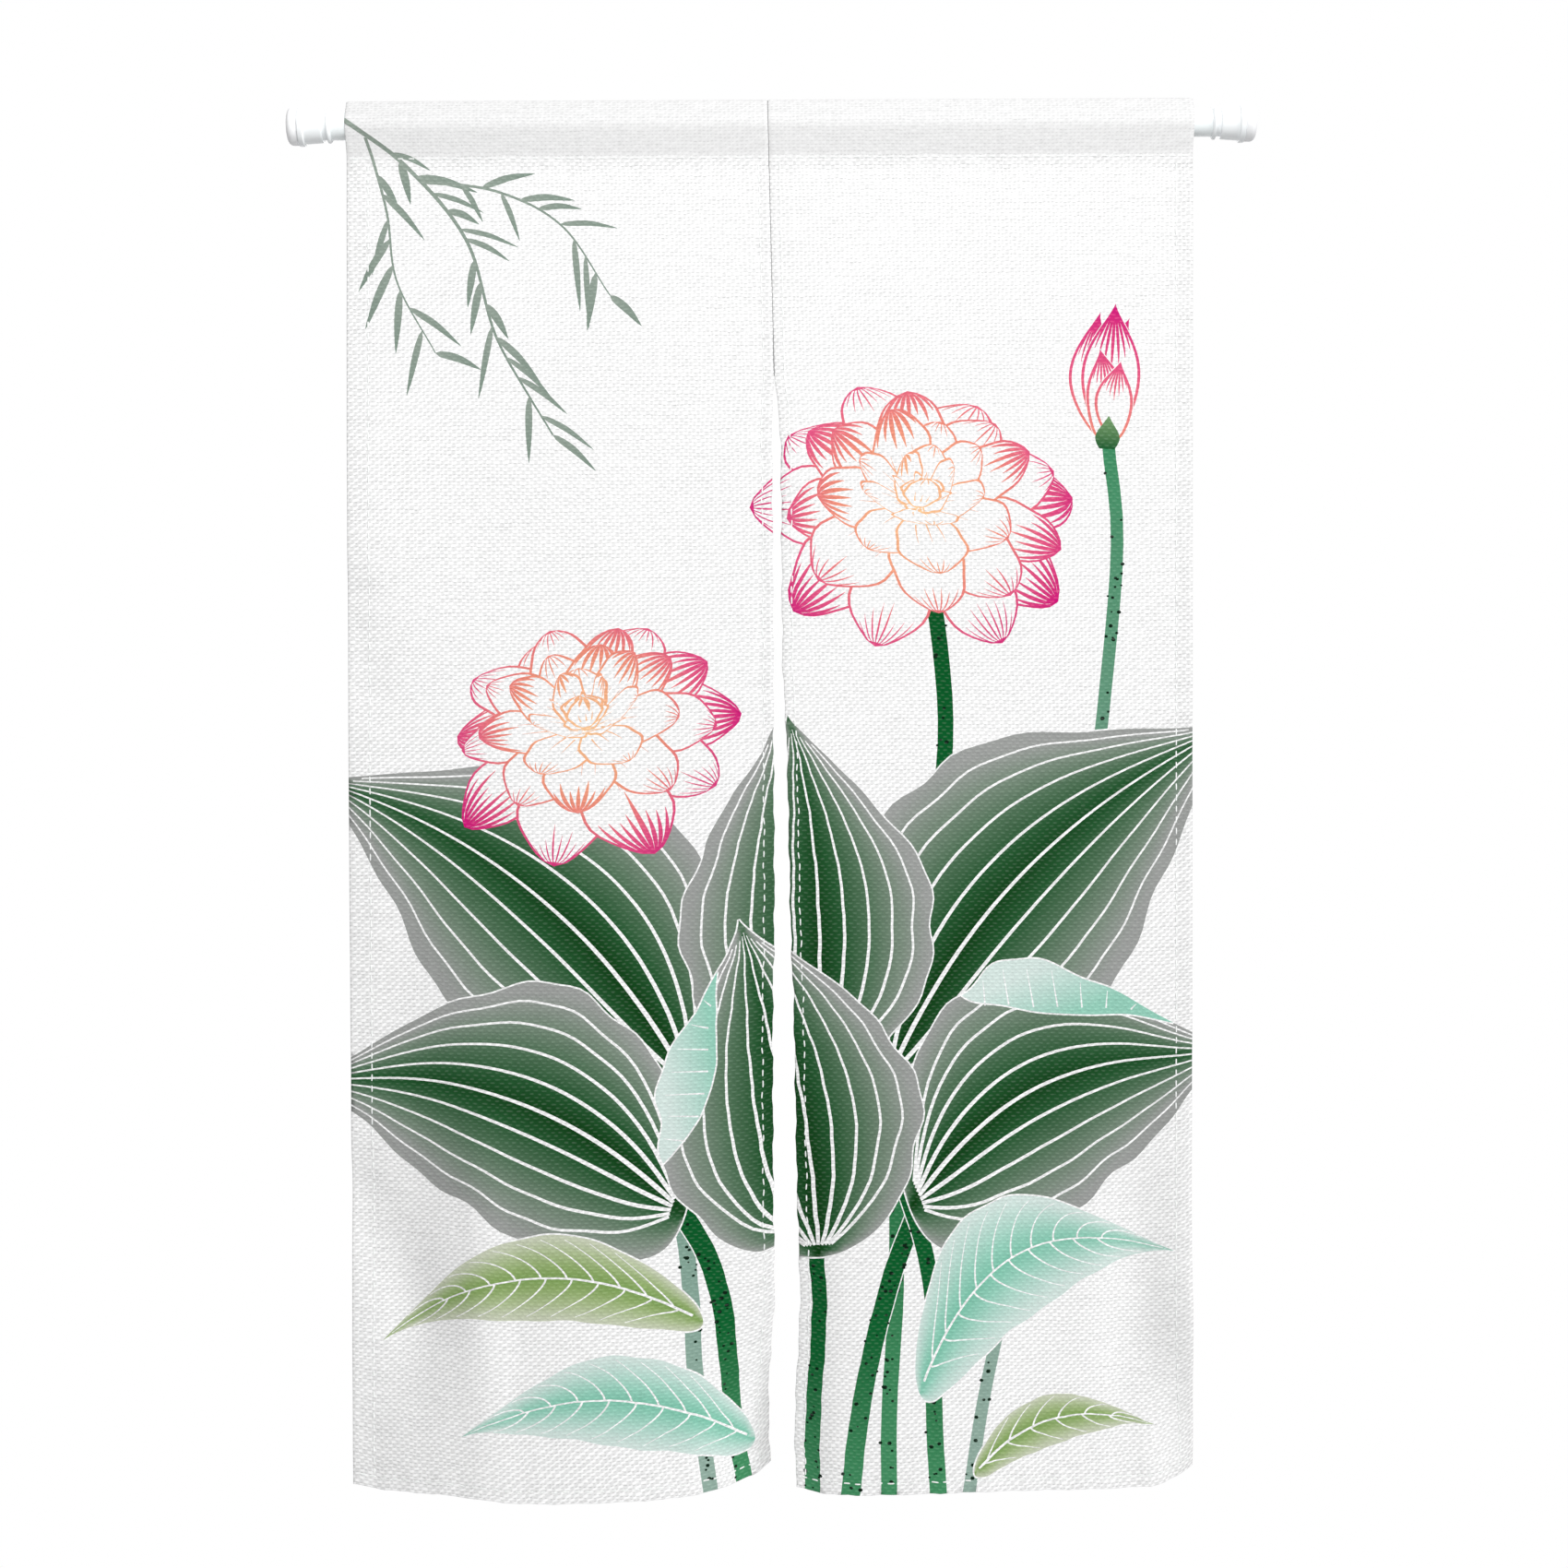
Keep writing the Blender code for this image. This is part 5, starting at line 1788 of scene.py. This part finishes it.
def rounded(profile, radii):
    """The profile with each inner corner cut back by its radius and bridged by a curve: the
    corner pulls on a quadratic curve between the two cut points. One more point before and after
    each curve keeps the flat stretches flat under smooth shading."""
    profile = np.asarray(profile, float)
    out = [profile[:1]]
    t = np.linspace(0, 1, ROUND_STEPS)[:, None]
    for before, corner, after, radius in zip(profile, profile[1:], profile[2:], radii):
        to_before, to_after = before - corner, after - corner
        cut_before = to_before * min(MOST_CUT, radius / np.hypot(*to_before))
        cut_after = to_after * min(MOST_CUT, radius / np.hypot(*to_after))
        curve = (1 - t) ** 2 * cut_before + t**2 * cut_after + corner
        out += [corner[None] + HELD * cut_before, curve, corner[None] + HELD * cut_after]
    out.append(profile[-1:])
    return np.vstack(out)


def turned(name, profile, material, slot, closed):
    """The surface x, r cos turn, r sin turn. An open profile starts and ends on the axis, with one
    point at each end; a closed one is a ring-shaped section away from the axis."""
    section = profile if closed else profile[1:-1]
    turn = np.linspace(0, 2 * pi, TURN_SIDES, endpoint=False)
    x = np.repeat(section[:, :1], TURN_SIDES, axis=1)
    y = -section[:, 1:] * np.sin(turn)
    z = section[:, 1:] * np.cos(turn)
    points = np.dstack([x, y, z]).reshape(-1, 3)
    index = np.arange(len(points)).reshape(-1, TURN_SIDES)
    faces = tube_faces(np.vstack([index, index[:1]]) if closed else index).tolist()
    if not closed:
        first, last = np.full(TURN_SIDES, len(points)), np.full(TURN_SIDES, len(points) + 1)
        faces += np.column_stack([first, index[0], np.roll(index[0], -1)]).tolist()
        faces += np.column_stack([last, np.roll(index[-1], -1), index[-1]]).tolist()
        points = np.vstack([points, [(profile[0, 0], 0.0, 0.0), (profile[-1, 0], 0.0, 0.0)]])
    made = mesh_object(name + "_turned", points, faces, [material])
    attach(made, "root")
    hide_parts(name)
    return made


print(TURN_SIDES, "steps round each piece")

# %% [markdown]
# The rod is painted metal, the collars and caps are moulded plastic, and the pads are softer and
# duller. All are nearly white, with a slow cloud of tone and a fine grain.

# %% Three pale finishes
TONE_SCALE = 40.0
ROUGHNESS_SPREAD = 0.12


def painted(name, low, high, roughness, grain, depth, coat=0.0):
    """A pale finish for hard pieces: two near colours in a slow cloud, and a fine grain."""
    finish = Finish(name, roughness=roughness, coat=coat)
    place = finish.node("ShaderNodeTexCoord").outputs["Object"]
    cloud = finish.noise(place, TONE_SCALE)
    fine = finish.noise(place, grain)
    finish.colour(finish.mix(cloud, opaque(*low), opaque(*high)))
    finish.put(finish.shader.inputs["Roughness"], roughness + (fine - 0.5) * ROUGHNESS_SPREAD)
    finish.raised(fine, depth)
    return finish.material


rod_paint = painted("white rod paint", (246, 253, 254), (250, 254, 255), 0.28, 700.0, 0.00002, coat=0.3)
cap_plastic = painted("white moulded plastic", (248, 252, 254), (252, 254, 255), 0.42, 1100.0, 0.00003)
pad_rubber = painted("soft white pad", (250, 251, 253), (253, 253, 254), 0.70, 1500.0, 0.00005)
print("finishes:", rod_paint.name, "/", cap_plastic.name, "/", pad_rubber.name)

# %% [markdown]
# The profiles have the sizes of the solids. Each left piece is the right one mirrored, with the
# points of its profile in the opposite order, so that its faces still point outwards.

# %% Profiles of the pieces
TUBE_JOIN = 0.1
TUBE_EDGE = 0.0003
PAD_EDGE = 0.0004
PAD_STEPS = 12

inside = ROD_RADIUS - ROD_WALL
tube = rounded(
    [
        (-TUBE_JOIN, inside), (-ROD_HALF_LENGTH, inside), (-ROD_HALF_LENGTH, ROD_RADIUS),
        (ROD_HALF_LENGTH, ROD_RADIUS), (ROD_HALF_LENGTH, inside), (TUBE_JOIN, inside),
    ],
    [TUBE_EDGE] * 4,
)
turned("rod_tube", tube, rod_paint, "rod", closed=True)

collar_inner = ROD_HALF_LENGTH - COLLAR_WIDTH
bore = ROD_RADIUS + GAP
COLLAR = rounded(
    [
        (collar_inner, bore), (collar_inner, bore + COLLAR_LIP), (collar_inner + COLLAR_FLARE, COLLAR_RADIUS),
        (ROD_HALF_LENGTH, COLLAR_RADIUS), (ROD_HALF_LENGTH, bore),
    ],
    (0.0003, 0.0006, 0.0007),
)
shoulder = ROD_HALF_LENGTH + GAP
neck = shoulder + SHOULDER_WIDTH
flange = neck + NECK_WIDTH
cap_face = flange + FLANGE_WIDTH
plug_radius = ROD_RADIUS - ROD_WALL - GAP
CAP = rounded(
    [
        (shoulder - PLUG_LENGTH, 0.0), (shoulder - PLUG_LENGTH, plug_radius), (shoulder, plug_radius),
        (shoulder, SHOULDER_RADIUS), (neck, SHOULDER_RADIUS), (neck, NECK_START_RADIUS),
        (flange, NECK_END_RADIUS), (flange, FLANGE_RADIUS), (cap_face, FLANGE_RADIUS), (cap_face, 0.0),
    ],
    (0.0008, 0.0004, 0.0003, 0.0006, 0.0012, 0.0012, 0.0010, 0.0012),
)
pad_inner = cap_face + GAP
pad_face = pad_inner + PAD_WIDTH
drawn_in = PAD_RADIUS - PAD_FACE_RADIUS
pad_turn = np.linspace(0, pi / 2, PAD_STEPS)
PAD = np.vstack([
    [(pad_inner, 0.0), (pad_inner, PAD_RADIUS - PAD_EDGE), (pad_inner + PAD_EDGE, PAD_RADIUS)],
    np.column_stack([
        pad_face - drawn_in + drawn_in * np.sin(pad_turn), PAD_FACE_RADIUS + drawn_in * np.cos(pad_turn)
    ]),
    [(pad_face, 0.0)],
])
for side_name, side in (("left", -1), ("right", 1)):
    flip = slice(None, None, side)
    turned("collar_" + side_name, (COLLAR * [side, 1])[flip], cap_plastic, "cap", closed=True)
    turned("end_cap_" + side_name, (CAP * [side, 1])[flip], cap_plastic, "cap", closed=False)
    turned("end_pad_" + side_name, (PAD * [side, 1])[flip], pad_rubber, "pad", closed=False)
print("turned: the rod, two collars, two caps and two pads")

# %% [markdown]
#
# Each panel was cut larger than it hangs: the side hems, the bottom hem and the pocket's tail are
# turned in. The size of the dressed curtain is written beside the size of the plain solids.

# %% Flat sizes and the final box
SIDE_TURN_IN = 0.003

for panel in PANELS:
    flat_width = panel_width(panel) + panel.left_hem + panel.right_hem + 2 * SIDE_TURN_IN
    pieces = [stitches[panel.name], seam] if panel.side == "left" else [stitches[panel.name]]
